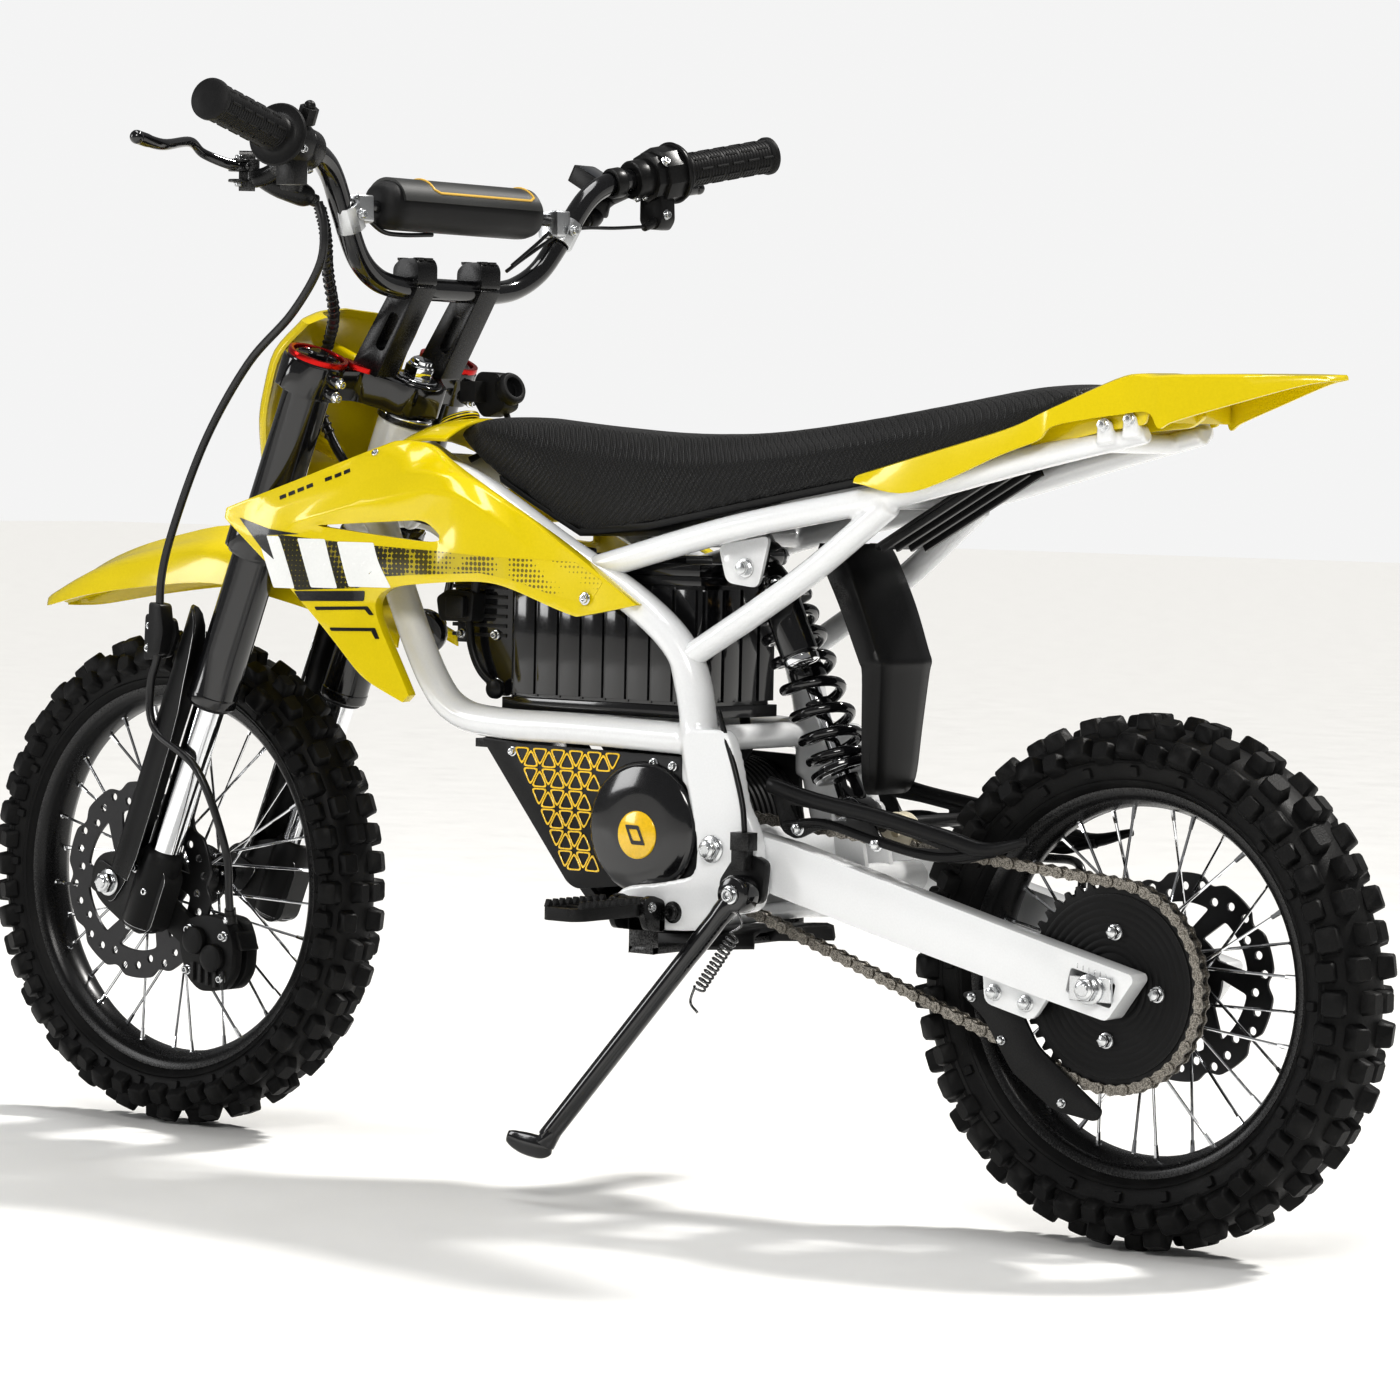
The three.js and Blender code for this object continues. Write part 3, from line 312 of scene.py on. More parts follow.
class Shape:
    """Points in design millimetres, the faces between them, and a look number for each face."""

    def __init__(self, at=None):
        self.points, self.faces, self.looks = [], [], []
        self.at = at or Matrix.Identity(4)
        self.look = 0

    def put(self, points, faces):
        start = len(self.points)
        self.points += [self.at @ Vector(p) for p in points]
        self.faces += [[start + i for i in face] for face in faces]
        self.looks += [self.look] * len(faces)
        return self

    def skin(self, rings, closed=True, loop=False, caps=True):
        """Quads between rings with equal numbers of points."""
        count, many = len(rings[0]), len(rings)
        faces = []
        for i in range(many if loop else many - 1):
            for k in range(count if closed else count - 1):
                a, b = i * count + k, i * count + (k + 1) % count
                c, d = ((i + 1) % many) * count + (k + 1) % count, ((i + 1) % many) * count + k
                faces.append((a, b, c, d))
        if caps and not loop:
            faces.append(tuple(range(count)))
            faces.append(tuple((many - 1) * count + k for k in range(count)))
        return self.put([p for ring in rings for p in ring], faces)

    def sweep(self, route, radius, sides=16, section=None, loop=False, caps=True):
        """A tube along a route. radius is a number or one per point; section replaces the circle."""
        route = [Vector(p) for p in route]
        many = len(route)
        radii = list(radius) if hasattr(radius, "__len__") else [radius] * many
        outline = section or [circle_point(k, sides) for k in range(sides)]
        side, rings, before = None, [], None
        for i, p in enumerate(route):
            ahead = (route[(i + 1) % many] - route[i - 1]) if loop or 0 < i < many - 1 else (
                route[1] - route[0] if i == 0 else route[-1] - route[-2])
            ahead.normalize()
            if side is None:
                guide = Y if abs(ahead.y) < 0.9 else Z
                side = guide.cross(ahead).normalized()
            else:
                side = before.rotation_difference(ahead) @ side
                side = (side - ahead * side.dot(ahead)).normalized()
            before = ahead
            other = ahead.cross(side)
            rings.append([p + (side * a + other * b) * radii[i] for a, b in outline])
        return self.skin(rings, loop=loop, caps=caps)

    def lathe(self, profile, centre=(0, 0, 0), axis=Y, sides=48):
        """A solid of revolution from a profile of (radius, along).
        It closes on itself unless it starts and ends on the axis."""
        solid = profile[0][0] == 0 and profile[-1][0] == 0
        frame_of = facing(axis)
        rings = []
        for k in range(sides):
            a = 2 * math.pi * k / sides
            rings.append([
                Vector(centre) + frame_of @ Vector((r * math.cos(a), r * math.sin(a), h)) for r, h in profile
            ])
        return self.skin(rings, closed=not solid, loop=True, caps=False)

    def plate(self, rim, low, high, holes=(), place=None):
        """A flat plate drawn in X and Z, from y = low to y = high, or in place's own XY plane along its Z."""
        place = place or FLAT_Y
        rims = [list(rim), *[list(h) for h in holes]]
        points, edges = [], []
        for one in rims:
            start = len(points)
            points += [Vector((p[0], p[1])) for p in one]
            edges += [(start + i, start + (i + 1) % len(one)) for i in range(len(one))]
        flat, _, faces, _, _, _ = delaunay_2d_cdt(points, edges, [], 1, 1e-6)
        if len(flat) != len(points):
            raise ValueError("a plate's outline crosses itself")
        middle = [sum((flat[i] for i in f), Vector((0, 0))) / len(f) for f in faces]
        faces = [f for f, m in zip(faces, middle) if inside(m, rims[0]) and not any(inside(m, h) for h in rims[1:])]
        count = len(flat)
        solid = [place @ Vector((p[0], p[1], low)) for p in flat]
        solid += [place @ Vector((p[0], p[1], high)) for p in flat]
        sides = [tuple(f) for f in faces] + [tuple(count + i for i in reversed(f)) for f in faces]
        start = 0
        for one in rims:
            many = len(one)
            sides += [
                (start + i, start + (i + 1) % many, count + start + (i + 1) % many, count + start + i)
                for i in range(many)
            ]
            start += many
        return self.put(solid, sides)

    def box(self, low, high):
        rim = [(low[0], low[2]), (high[0], low[2]), (high[0], high[2]), (low[0], high[2])]
        return self.plate(rim, low[1], high[1])

    def rod(self, a, b, radius, sides=16, end=None):
        a, b = Vector(a), Vector(b)
        return self.sweep([a, b], [radius, radius if end is None else end], sides)

    def ball(self, centre, radius, sides=12, squash=1.0):
        profile = [(radius * math.sin(math.pi * i / sides), -radius * squash * math.cos(math.pi * i / sides))
                   for i in range(sides + 1)]
        profile[0], profile[-1] = (0, -radius * squash), (0, radius * squash)
        return self.lathe(profile, centre, Z, sides * 2)

    def bolt(self, at, axis, size, tall=None, kind="hex", washer=True):
        """A bolt head that stands on a face at a point: hex with a washer, or a round socket cap."""
        axis = Vector(axis).normalized()
        place = Matrix.Translation(Vector(at)) @ facing(axis).to_4x4()
        tall = tall or size * 0.62
        foot = 0.0
        if washer:
            foot = size * 0.16
            self.lathe([(0, 0), (size * 0.98, 0), (size * 1.02, foot * 0.5), (size * 0.96, foot), (0, foot)],
                       at, axis, 28)
        up = Vector(at) + axis * foot
        if kind == "hex":
            self.plate(hexagon(size * 0.8), foot, foot + tall * 0.86, place=place)
            self.lathe([(0, 0), (size * 0.66, 0), (size * 0.60, tall * 0.16), (0, tall * 0.18)],
                       up + axis * tall * 0.85, axis, 18)
        else:
            top, well = tall, size * 0.36
            profile = [(0, 0), (size * 0.72, 0), (size * 0.74, top * 0.75), (size * 0.64, top), (well, top),
                       (well, top * 0.45), (0, top * 0.45)]
            self.lathe(profile, up, axis, 6 if kind == "socket6" else 24)
        return self

    def mirror(self):
        """Adds the same shape on the bike's other side."""
        count = len(self.points)
        self.points += [Vector((p.x, -p.y, p.z)) for p in self.points]
        self.faces += [[count + i for i in reversed(face)] for face in self.faces]
        self.looks += self.looks
        return self

    def flipped(self):
        """Moves the shape to the bike's other side."""
        self.points = [Vector((p.x, -p.y, p.z)) for p in self.points]
        self.faces = [list(reversed(face)) for face in self.faces]
        return self


def circle_point(k, sides, radius=1.0, start=0.0):
    a = 2 * math.pi * k / sides + start
    return radius * math.cos(a), radius * math.sin(a)


def hexagon(radius, centre=(0, 0)):
    return [(centre[0] + radius * math.cos(math.pi * k / 3), centre[1] + radius * math.sin(math.pi * k / 3))
            for k in range(6)]


def decagon(radius):
    """Ten flat sides, as on the split clamps round the bar."""
    turns = [2 * math.pi * (k + 0.5) / 10 for k in range(10)]
    return [(radius * math.cos(a), radius * math.sin(a)) for a in turns]


def ring_of(radius, sides, centre=(0, 0), start=0.0):
    return [(centre[0] + x, centre[1] + z) for x, z in (circle_point(k, sides, radius, start) for k in range(sides))]


def facing(axis):
    """The turn that takes Z to an axis."""
    return Vector(axis).to_track_quat("Z", "Y").to_matrix()


# Places for plates drawn in X and Z with their thickness along Y, and in Y and Z with it along X.
FLAT_Y = Matrix(((1, 0, 0, 0), (0, 0, 1, 0), (0, 1, 0, 0), (0, 0, 0, 1)))
FLAT_X = Matrix(((0, 0, 1, 0), (1, 0, 0, 0), (0, 1, 0, 0), (0, 0, 0, 1)))


def curve(points, steps=8, loop=False):
    """A smooth line through the points."""
    points = [Vector(p) for p in points]
    many, route = len(points), []
    for i in range(many if loop else many - 1):
        p1, p2 = points[i], points[(i + 1) % many]
        p0 = points[i - 1] if loop or i > 0 else p1 + (p1 - p2)
        p3 = points[(i + 2) % many] if loop or i + 2 < many else p2 + (p2 - p1)
        for k in range(steps):
            t = k / steps
            route.append(0.5 * (2 * p1 + (p2 - p0) * t + (2 * p0 - 5 * p1 + 4 * p2 - p3) * t * t
                                + (3 * p1 - p0 - 3 * p2 + p3) * t ** 3))
    if not loop:
        route.append(points[-1])
    return route


def between(a, b, t):
    return Vector(a).lerp(Vector(b), t)


def rounded(rim, radius, steps=4):
    """Rounds the corners of a flat outline."""
    made = []
    many = len(rim)
    for i, p in enumerate(rim):
        p = Vector((p[0], p[1]))
        before, after = Vector(rim[i - 1][:2]), Vector(rim[(i + 1) % many][:2])
        reach = min(radius, (before - p).length * 0.45, (after - p).length * 0.45)
        a, b = p + (before - p).normalized() * reach, p + (after - p).normalized() * reach
        made += [tuple(a.lerp(p, t).lerp(p.lerp(b, t), t)) for t in (k / steps for k in range(steps + 1))]
    return made


def piece(name, shape, looks, body, of=(), bevel=0.0, segments=2, sharp=32, voxel=0.0, smooth=0, levels=0):
    """Turns a shape into a finished mesh that rides on a body and may stand for CAD nodes."""
    mesh = bpy.data.meshes.new(name)
    mesh.from_pydata([row(p) for p in shape.points], [], shape.faces)
    for key in looks.split():
        mesh.materials.append(LOOKS[key])
    mesh.polygons.foreach_set("material_index", shape.looks)
    solid = bmesh.new()
    solid.from_mesh(mesh)
    bmesh.ops.remove_doubles(solid, verts=solid.verts, dist=2e-6)
    bmesh.ops.dissolve_degenerate(solid, edges=solid.edges, dist=1e-6)
    bmesh.ops.recalc_face_normals(solid, faces=solid.faces)
    if bevel:
        limit = math.radians(sharp)
        edges = [e for e in solid.edges if len(e.link_faces) == 2 and e.calc_face_angle(0) > limit]
        bmesh.ops.bevel(solid, geom=edges, offset=bevel * MM, segments=segments, profile=0.5,
                        affect="EDGES", clamp_overlap=True)
    solid.to_mesh(mesh)
    solid.free()
    made = bpy.data.objects.new(name, mesh)
    bpy.context.scene.collection.objects.link(made)
    if voxel:
        remesh = made.modifiers.new("weld", "REMESH")
        remesh.mode = "VOXEL"
        remesh.voxel_size = voxel * MM
    if smooth:
        relax = made.modifiers.new("relax", "SMOOTH")
        relax.factor = 0.5
        relax.iterations = smooth
    if levels:
        made.modifiers.new("fine", "SUBSURF").levels = levels
        made.modifiers["fine"].render_levels = levels
    settle(made)
    made.data.shade_smooth()
    made.data.set_sharp_from_angle(angle=math.radians(180 if voxel else sharp + 6))
    if body:
        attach(made, body)
    if of:
        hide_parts(*([of] if isinstance(of, str) else of))
    return made


def settle(made):
    """Applies the modifiers to the mesh."""
    if not made.modifiers:
        return
    graph = bpy.context.evaluated_depsgraph_get()
    mesh = bpy.data.meshes.new_from_object(made.evaluated_get(graph))
    made.modifiers.clear()
    made.data = mesh


# ------------------------------------------------------------------------- wheels


def carcass_profile(wheel):
    """Half of a tyre's outer section, from the crown to the bead, as (across, radius)."""
    r, w, rim = wheel["radius"] - 12, wheel["half"], wheel["rim"]
    points = [(0, r, 0), (w * 0.42, r - 1.5, 0), (w * 0.74, r - 8, 0), (w * 0.92, r - 22, 0),
              (w * 0.93, (r + rim) / 2 + 4, 0), (w * 0.84, rim + 16, 0), (w * 0.62, rim + 7, 0)]
    return [(p.x, p.y) for p in curve(points, 4)]


def profile_at(profile, run):
    """(across, radius, outward turn) at a run along the section from the crown."""
    side = 1 if run >= 0 else -1
    left = abs(run)
    for (a, b), (c, d) in zip(profile, profile[1:]):
        step = math.hypot(c - a, d - b)
        if left <= step:
            t = left / step
            return side * (a + (c - a) * t), b + (d - b) * t, side * math.atan2(-(d - b), c - a)
        left -= step
    raise ValueError("past the bead")


def knob(shape, profile, angle, run, long, wide, tall):
    """One tread block that stands on the carcass, narrower at its top."""
    across, radius, lean = profile_at(profile, run)
    out = Matrix.Rotation(-angle, 4, "Y") @ Matrix.Translation((radius, across, 0)) @ Matrix.Rotation(lean, 4, "Z")
    rings = []
    for height, share in ((-2.5, 1.08), (tall - 1.3, 0.9), (tall, 0.78)):
        a, b = long / 2 * share, wide / 2 * share
        chamfer = min(a, b) * 0.3
        corners = [(a - chamfer, -b), (a, -b + chamfer), (a, b - chamfer), (a - chamfer, b),
                   (-a + chamfer, b), (-a, b - chamfer), (-a, -b + chamfer), (-a + chamfer, -b)]
        rings.append([out @ Vector((height, y, x)) for x, y in corners])
    shape.skin(rings)


def tyre(name, wheel, body):
    profile = carcass_profile(wheel)
    centre = wheel["centre"]
    shape = Shape(Matrix.Translation(centre))
    rim = wheel["rim"]
    section = [(r, -y) for y, r in reversed(profile)] + [(r, y) for y, r in profile[1:]]
    inner = [(rim + 4, wheel["half"] * 0.5), (rim + 4, -wheel["half"] * 0.5)]
    shape.lathe(section + inner, axis=Y, sides=160)
    for side in (-1, 1):
        for up, out in ((rim + 13, 0.79), (rim + 30, 0.925)):
            y = side * wheel["half"] * out
            shape.lathe([(up - 2.2, y), (up, y + side * 1.7), (up + 2.2, y)][:: -side], axis=Y, sides=120)
    rows, half = wheel["rows"], wheel["half"]
    for i in range(rows):
        a = 2 * math.pi * i / rows
        for side in (-1, 1):
            if i % 2:
                knob(shape, profile, a, side * half * 0.52, 22, half * 0.44, 11.5)
                knob(shape, profile, a, side * half * 1.16, 18, 18, 9.5)
            else:
                knob(shape, profile, a, side * half * 0.215, 20, half * 0.38, 12)
                knob(shape, profile, a, side * half * 1.02, 23, 21, 11)
                knob(shape, profile, a + 0.02, side * half * 1.52, 9, 10, 3.2)
    return piece(name + "_knobbly", shape, "tyre", body, name, sharp=34)


def rim(name, wheel, hub, body):
    """A black rim and hub, with bright laced spokes and their nipples."""
    shape = Shape(Matrix.Translation(wheel["centre"]))
    r, h = wheel["rim"], wheel["rim_half"]
    shape.lathe([
        (r - 11, -7), (r - 8, -13), (r - 5.5, -h + 5), (r - 3, -h + 1), (r + 1, -h - 1), (r + 6, -h - 1.6),
        (r + 7.5, -h),
        (r + 7, -h + 2), (r + 2, -h + 3), (r - 1, -h + 8), (r - 1, h - 8), (r + 2, h - 3), (r + 7, h - 2),
        (r + 7.5, h),
        (r + 6, h + 1.6), (r + 1, h + 1), (r - 3, h - 1), (r - 5.5, h - 5), (r - 8, 13), (r - 11, 7),
    ], axis=Y, sides=160)
    f, b, e = hub["flange"], hub["radius"], hub["half"]
    half_hub = [(9, e), (15, e), (16.5, e - 2), (17, f + 3), (b - 6, f + 1.5), (b, f), (b + 1, f - 2), (b, f - 4.5),
                (b - 7, f - 6), (21, f - 12), (18.5, f - 20), (18, 0)]
    shape.lathe([(x, -y) for x, y in half_hub] + list(reversed(half_hub[:-1])), axis=Y, sides=64)
    shape.look = 1
    spokes = 32
    for i in range(spokes):
        outer = 2 * math.pi * (i + 0.5) / spokes
        lean = 0.62 if i % 4 < 2 else -0.62
        side = 1 if i % 2 else -1
        root = Vector(((b - 3.5) * math.cos(outer + lean), side * (f - 2 + (2.2 if i % 4 < 2 else -2.2)),
                       (b - 3.5) * math.sin(outer + lean)))
        tip = Vector(((r - 7) * math.cos(outer), side * 5, (r - 7) * math.sin(outer)))
        shape.rod(root, tip, 1.35, 8)
        shape.ball(root, 2.6, 6)
        shape.rod(tip.lerp(root, 15 / (tip - root).length), tip, 1.9, 6, 2.7)
        shape.rod(tip.lerp(root, 4 / (tip - root).length), tip, 3.4, 8, 3.4)
    shape.look = 0
    return piece(name + "_laced", shape, "metal chrome", body, name, sharp=30)


def brake_disc(name, centre, radius, y, arms, body):
    """A wavy rotor with drilled holes, on six swept arms."""
    at = (centre[0], centre[2])
    lobes = 10

    def wave(base, swing, phase, many=240):
        rim_points = []
        for k in range(many):
            a = 2 * math.pi * k / many
            bite = max(0.0, math.cos(lobes * a + phase)) ** 2
            rr = base - swing * bite
            rim_points.append((at[0] + rr * math.cos(a), at[1] + rr * math.sin(a)))
        return rim_points

    holes = []
    inner, outer, hub = radius * 0.72, radius, radius * 0.40
    for k in range(arms):
        start = 2 * math.pi * k / arms
        window = []
        for t in range(9):
            a = start + 0.16 + (2 * math.pi / arms - 0.30) * t / 8
            window.append((at[0] + inner * math.cos(a), at[1] + inner * math.sin(a)))
        for t in range(7):
            a = start - 0.22 + (2 * math.pi / arms - 0.40) * (6 - t) / 6 + 0.2
            window.append((at[0] + (hub + 3) * math.cos(a), at[1] + (hub + 3) * math.sin(a)))
        holes.append(rounded(window, 4, 2))
    for k in range(lobes * 3):
        a = 2 * math.pi * (k + 0.5) / (lobes * 3)
        rr = (inner + outer) / 2 + (-4.5, 1.5, 4.5)[k % 3] - 0.5
        holes.append(ring_of(3.9, 14, (at[0] + rr * math.cos(a), at[1] + rr * math.sin(a))))
    holes.append(ring_of(radius * 0.24, 40, at))
    shape = Shape().plate(wave(outer, 6, 0), y - 1.8, y + 1.8, holes)
    shape.look = 1
    side = 1 if y > 0 else -1
    for k in range(arms):
        a = 2 * math.pi * (k + 0.3) / arms
        shape.bolt((at[0] + hub * 0.82 * math.cos(a), y + side * 1.8, at[1] + hub * 0.82 * math.sin(a)),
                   Y * side, 5, 4, "cap", False)
    return piece(name + "_wave", shape, "disc steel", body, name, bevel=0.35, segments=1)


def add_wheels():
    rear = {"centre": REAR_AXLE, "radius": 233, "half": 42, "rim": 163, "rim_half": 24, "rows": 48}
    front = {"centre": FRONT_AXLE, "radius": 248, "half": 36, "rim": 187, "rim_half": 21, "rows": 52}
    tyre("rear_tyre", rear, "rear_wheel")
    tyre("front_tyre", front, "front_wheel")
    rim("rear_rim", rear, {"half": 50, "flange": 34, "radius": 34}, "rear_wheel")
    rim("front_rim", front, {"half": 58, "flange": 30, "radius": 30}, "front_wheel")
    brake_disc("rear_disc", REAR_AXLE, 92, -56, 6, "rear_wheel")
    brake_disc("front_disc", FRONT_AXLE, 98, 66, 6, "front_wheel")
    add_sprockets()
    for name, centre, half, body in (("rear_axle", REAR_AXLE, 95, "swingarm"),
                                     ("front_axle", FRONT_AXLE, 110.4, "fork_lower")):
        shape = Shape()
        x, z = centre.x, centre.z
        shape.rod((x, -half - 1, z), (x, half + 1, z), 7.2, 24)
        for side in (-1, 1):
            shape.bolt((x, side * half, z), Y * side, 13.5, 9)
            shape.rod((x, side * (half + 8), z), (x, side * (half + 13), z), 5.5, 20)
            if half == 95:
                shape.box((x - 21, min(side * 90.6, side * 95), z - 10.6),
                          (x + 21, max(side * 90.6, side * 95), z + 10.6))
        piece(name + "_bright", shape, "steel", body, name, bevel=0.6, segments=1)


TEETH = 44
SMALL_TEETH = 14
CHAIN_PITCH = 12.7


def add_sprockets():
    rim_points = []
    for k in range(TEETH):
        for t, r in ((-0.5, 84.6), (-0.3, 85.6), (-0.14, 91.5), (0.14, 91.5), (0.3, 85.6)):
            a = 2 * math.pi * (k + t) / TEETH
            rim_points.append((r * math.cos(a), REAR_AXLE.z + r * math.sin(a)))
    holes = [ring_of(5, 16, (70 * math.cos(a), REAR_AXLE.z + 70 * math.sin(a)))
             for a in (math.pi * (k + 0.5) / 4 for k in range(8))]
    shape = Shape().plate(rim_points, CHAIN_Y - 2, CHAIN_Y + 2, holes + [ring_of(20, 40, (0, REAR_AXLE.z))])
    face = [(22, CHAIN_Y - 9), (40, CHAIN_Y - 9), (40, CHAIN_Y - 2), (62, CHAIN_Y - 2)]
    for k in range(9):
        r = 80 - k * 6.4
        face += [(r, CHAIN_Y + 3.1), (r - 1.0, CHAIN_Y + 3.6), (r - 5.2, CHAIN_Y + 3.6)]
    face += [(22, CHAIN_Y + 4)]
    shape.lathe(face, REAR_AXLE, Y, 96)
    shape.look = 1
    for k in range(4):
        a = math.radians(4 + 90 * k)
        shape.bolt((47 * math.cos(a), CHAIN_Y + 3.4, REAR_AXLE.z + 47 * math.sin(a)), Y, 7.5, 6)
    piece("rear_sprocket_toothed", shape, "cast steel", "rear_wheel", "rear_sprocket", bevel=0.3,
          segments=1)
    shape = Shape()
    rim_points = []
    for k in range(SMALL_TEETH):
        for t, r in ((-0.5, 24), (-0.3, 25), (-0.12, 30.5), (0.12, 30.5), (0.3, 25)):
            a = 2 * math.pi * (k + t) / SMALL_TEETH
            rim_points.append((MOTOR_AXIS.x + r * math.cos(a), MOTOR_AXIS.z + r * math.sin(a)))
    shape.plate(rim_points, CHAIN_Y - 2, CHAIN_Y + 2, [ring_of(8, 20, (MOTOR_AXIS.x, MOTOR_AXIS.z))])
    shape.lathe([(8.5, CHAIN_Y - 5), (17, CHAIN_Y - 5), (17, CHAIN_Y + 5), (8.5, CHAIN_Y + 5)],
                (MOTOR_AXIS.x, 0, MOTOR_AXIS.z), Y, 32)
    piece("drive_sprocket_toothed", shape, "metal", "drive", "drive_sprocket", bevel=0.3, segments=1)


# -------------------------------------------------------------------------- chain


def chain_route(offset=0.0, steps=240):
    """Points at even spacing round both sprockets, in X and Z."""
    big, small = 89 + offset, 28.5 + offset
    reach = MOTOR_AXIS - REAR_AXLE
    tilt = math.atan2(reach.z, reach.x)
    wrap = math.acos((big - small) / math.hypot(reach.x, reach.z))
    loop = []
    for i in range(61):
        a = tilt + wrap + (2 * math.pi - 2 * wrap) * i / 60
        loop.append(Vector((REAR_AXLE.x + big * math.cos(a), REAR_AXLE.z + big * math.sin(a))))
    for i in range(21):
        a = tilt - wrap + 2 * wrap * i / 20
        loop.append(Vector((MOTOR_AXIS.x + small * math.cos(a), MOTOR_AXIS.z + small * math.sin(a))))
    lengths = [(loop[(i + 1) % len(loop)] - p).length for i, p in enumerate(loop)]
    total = sum(lengths)
    route, i, gone = [], 0, 0.0
    for k in range(steps):
        want = total * k / steps
        while gone + lengths[i] < want:
            gone += lengths[i]
            i += 1
        route.append(loop[i].lerp(loop[(i + 1) % len(loop)], (want - gone) / lengths[i]))
    return route, total


def add_chain():
    _, total = chain_route()
    links = 2 * round(total / CHAIN_PITCH / 2)
    pins, _ = chain_route(steps=links)
    shape = Shape()
    for k, p in enumerate(pins):
        q = pins[(k + 1) % links]
        along = (q - p).normalized()
        across = Vector((-along.y, along.x))
        y = 3.7 if k % 2 else 5.3
        rim_points = []
        for end, sign in ((p, -1), (q, 1)):
            for t in range(7):
                a = -math.pi / 2 + math.pi * t / 6
                v = end + along * (sign * 5.2 * math.cos(a)) + across * (sign * 5.2 * math.sin(a))
                rim_points.append((v.x, v.y))
            mid = end.lerp(q if sign < 0 else p, 0.5) + across * (3.4 * sign)
            rim_points.append((mid.x, mid.y))
        for side in (-1, 1):
            low = CHAIN_Y + side * y - 0.65
            shape.plate(rim_points, low, low + 1.3)
        shape.rod((p.x, CHAIN_Y - 3, p.y), (p.x, CHAIN_Y + 3, p.y), 3.9, 12)
        shape.rod((p.x, CHAIN_Y - 6.6, p.y), (p.x, CHAIN_Y + 6.6, p.y), 1.9, 10)
    chain = piece("chain_links", shape, "chain", None, "chain", sharp=30)
    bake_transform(chain)


# -------------------------------------------------------------------------- frame


def steer(ahead, y, up):
    return STEER @ Vector((ahead, y, up))


SPAR = [steer(-4, 16, -115), (800, 44, 662), (720, 64, 648), (600, 78, 591), (505, 86, 546), (452, 86, 504),
        (432, 86, 455), (429, 86, 385)]
CRADLE = [steer(2, 16, -165), (850, 46, 610), (800, 70, 540), (752, 80, 466), (716, 83, 436), (660, 86, 428),
          (560, 86, 427), (440, 86, 424)]


def oval(wide, tall, sides=20):
    return [(wide * math.cos(2 * math.pi * k / sides), tall * math.sin(2 * math.pi * k / sides))
            for k in range(sides)]


def add_frame():
    shape = Shape()
    shape.sweep(curve(SPAR, 8), 16, section=oval(0.94, 1.06))
    shape.sweep(curve(CRADLE, 8), 15.2, section=oval(0.96, 1.02))
    casting = [(384, 436), (436, 434), (430, 399), (422, 364), (415, 322), (419, 302), (460, 293), (500, 288),
               (520, 268),
               (507, 252), (455, 250), (399, 254), (374, 270), (350, 274), (342, 292), (350, 345), (366, 370),
               (372, 400)]
    shape.plate(rounded(casting, 12), 91, 106)
    shape.sweep(curve([(447, 86, 494), (434, 87, 455), (425, 88, 410), (413, 88, 360), (404, 86, 320)], 4),
                [15, 15.4, 15.8, 16.2, 16.6, 17, 17.6, 18, 18.4, 18.4, 18.2, 18, 17.6, 17, 16, 15, 14], 24)
    shape.mirror()
    shape.rod(steer(0, 0, -190), steer(0, 0, -66), 25, 32)
    shape.plate(rounded([(846, 700), (800, 676), (760, 652), (800, 640), (856, 600), (868, 640)], 8), -6, 6)
    shape.rod((436, -88, 424), (436, 88, 424), 12, 20)
    shape.rod((425, -96, 262), (425, 96, 262), 9, 16)
    shape.box((700, -80, 419), (716, 80, 439))
    piece("main_frame_welded", shape, "white", "frame", "main_frame", voxel=2.4, smooth=7)
    trim = Shape()
    for up in (-190, -66):
        trim.lathe([(17, -3), (27, -3), (27.5, 0), (27, 3), (17, 3)], steer(0, 0, up), STEER.to_3x3() @ Z, 40)
    piece("head_bearing_cups", trim, "metal", "frame", bevel=0.6, segments=1)
    bolts = Shape()
    bolts.rod((PIVOT.x, -104, PIVOT.z), (PIVOT.x, 104, PIVOT.z), 7, 24)
    for side in (-1, 1):
        bolts.bolt((PIVOT.x, side * 106, PIVOT.z), Y * side, 12.5, 8)
        bolts.rod((PIVOT.x, side * 114, PIVOT.z), (PIVOT.x, side * 118, PIVOT.z), 4.5, 16)
    piece("pivot_bolt_bright", bolts, "steel", "frame", "pivot_bolt", bevel=0.6, segments=1)
    plugs = Shape()
    for side in (-1, 1):
        plugs.bolt((441, side * 105.6, 268), Y * side, 10, 4.5, "cap")
    piece("casting_bolts", plugs, "metal", "frame", bevel=0.4, segments=1)


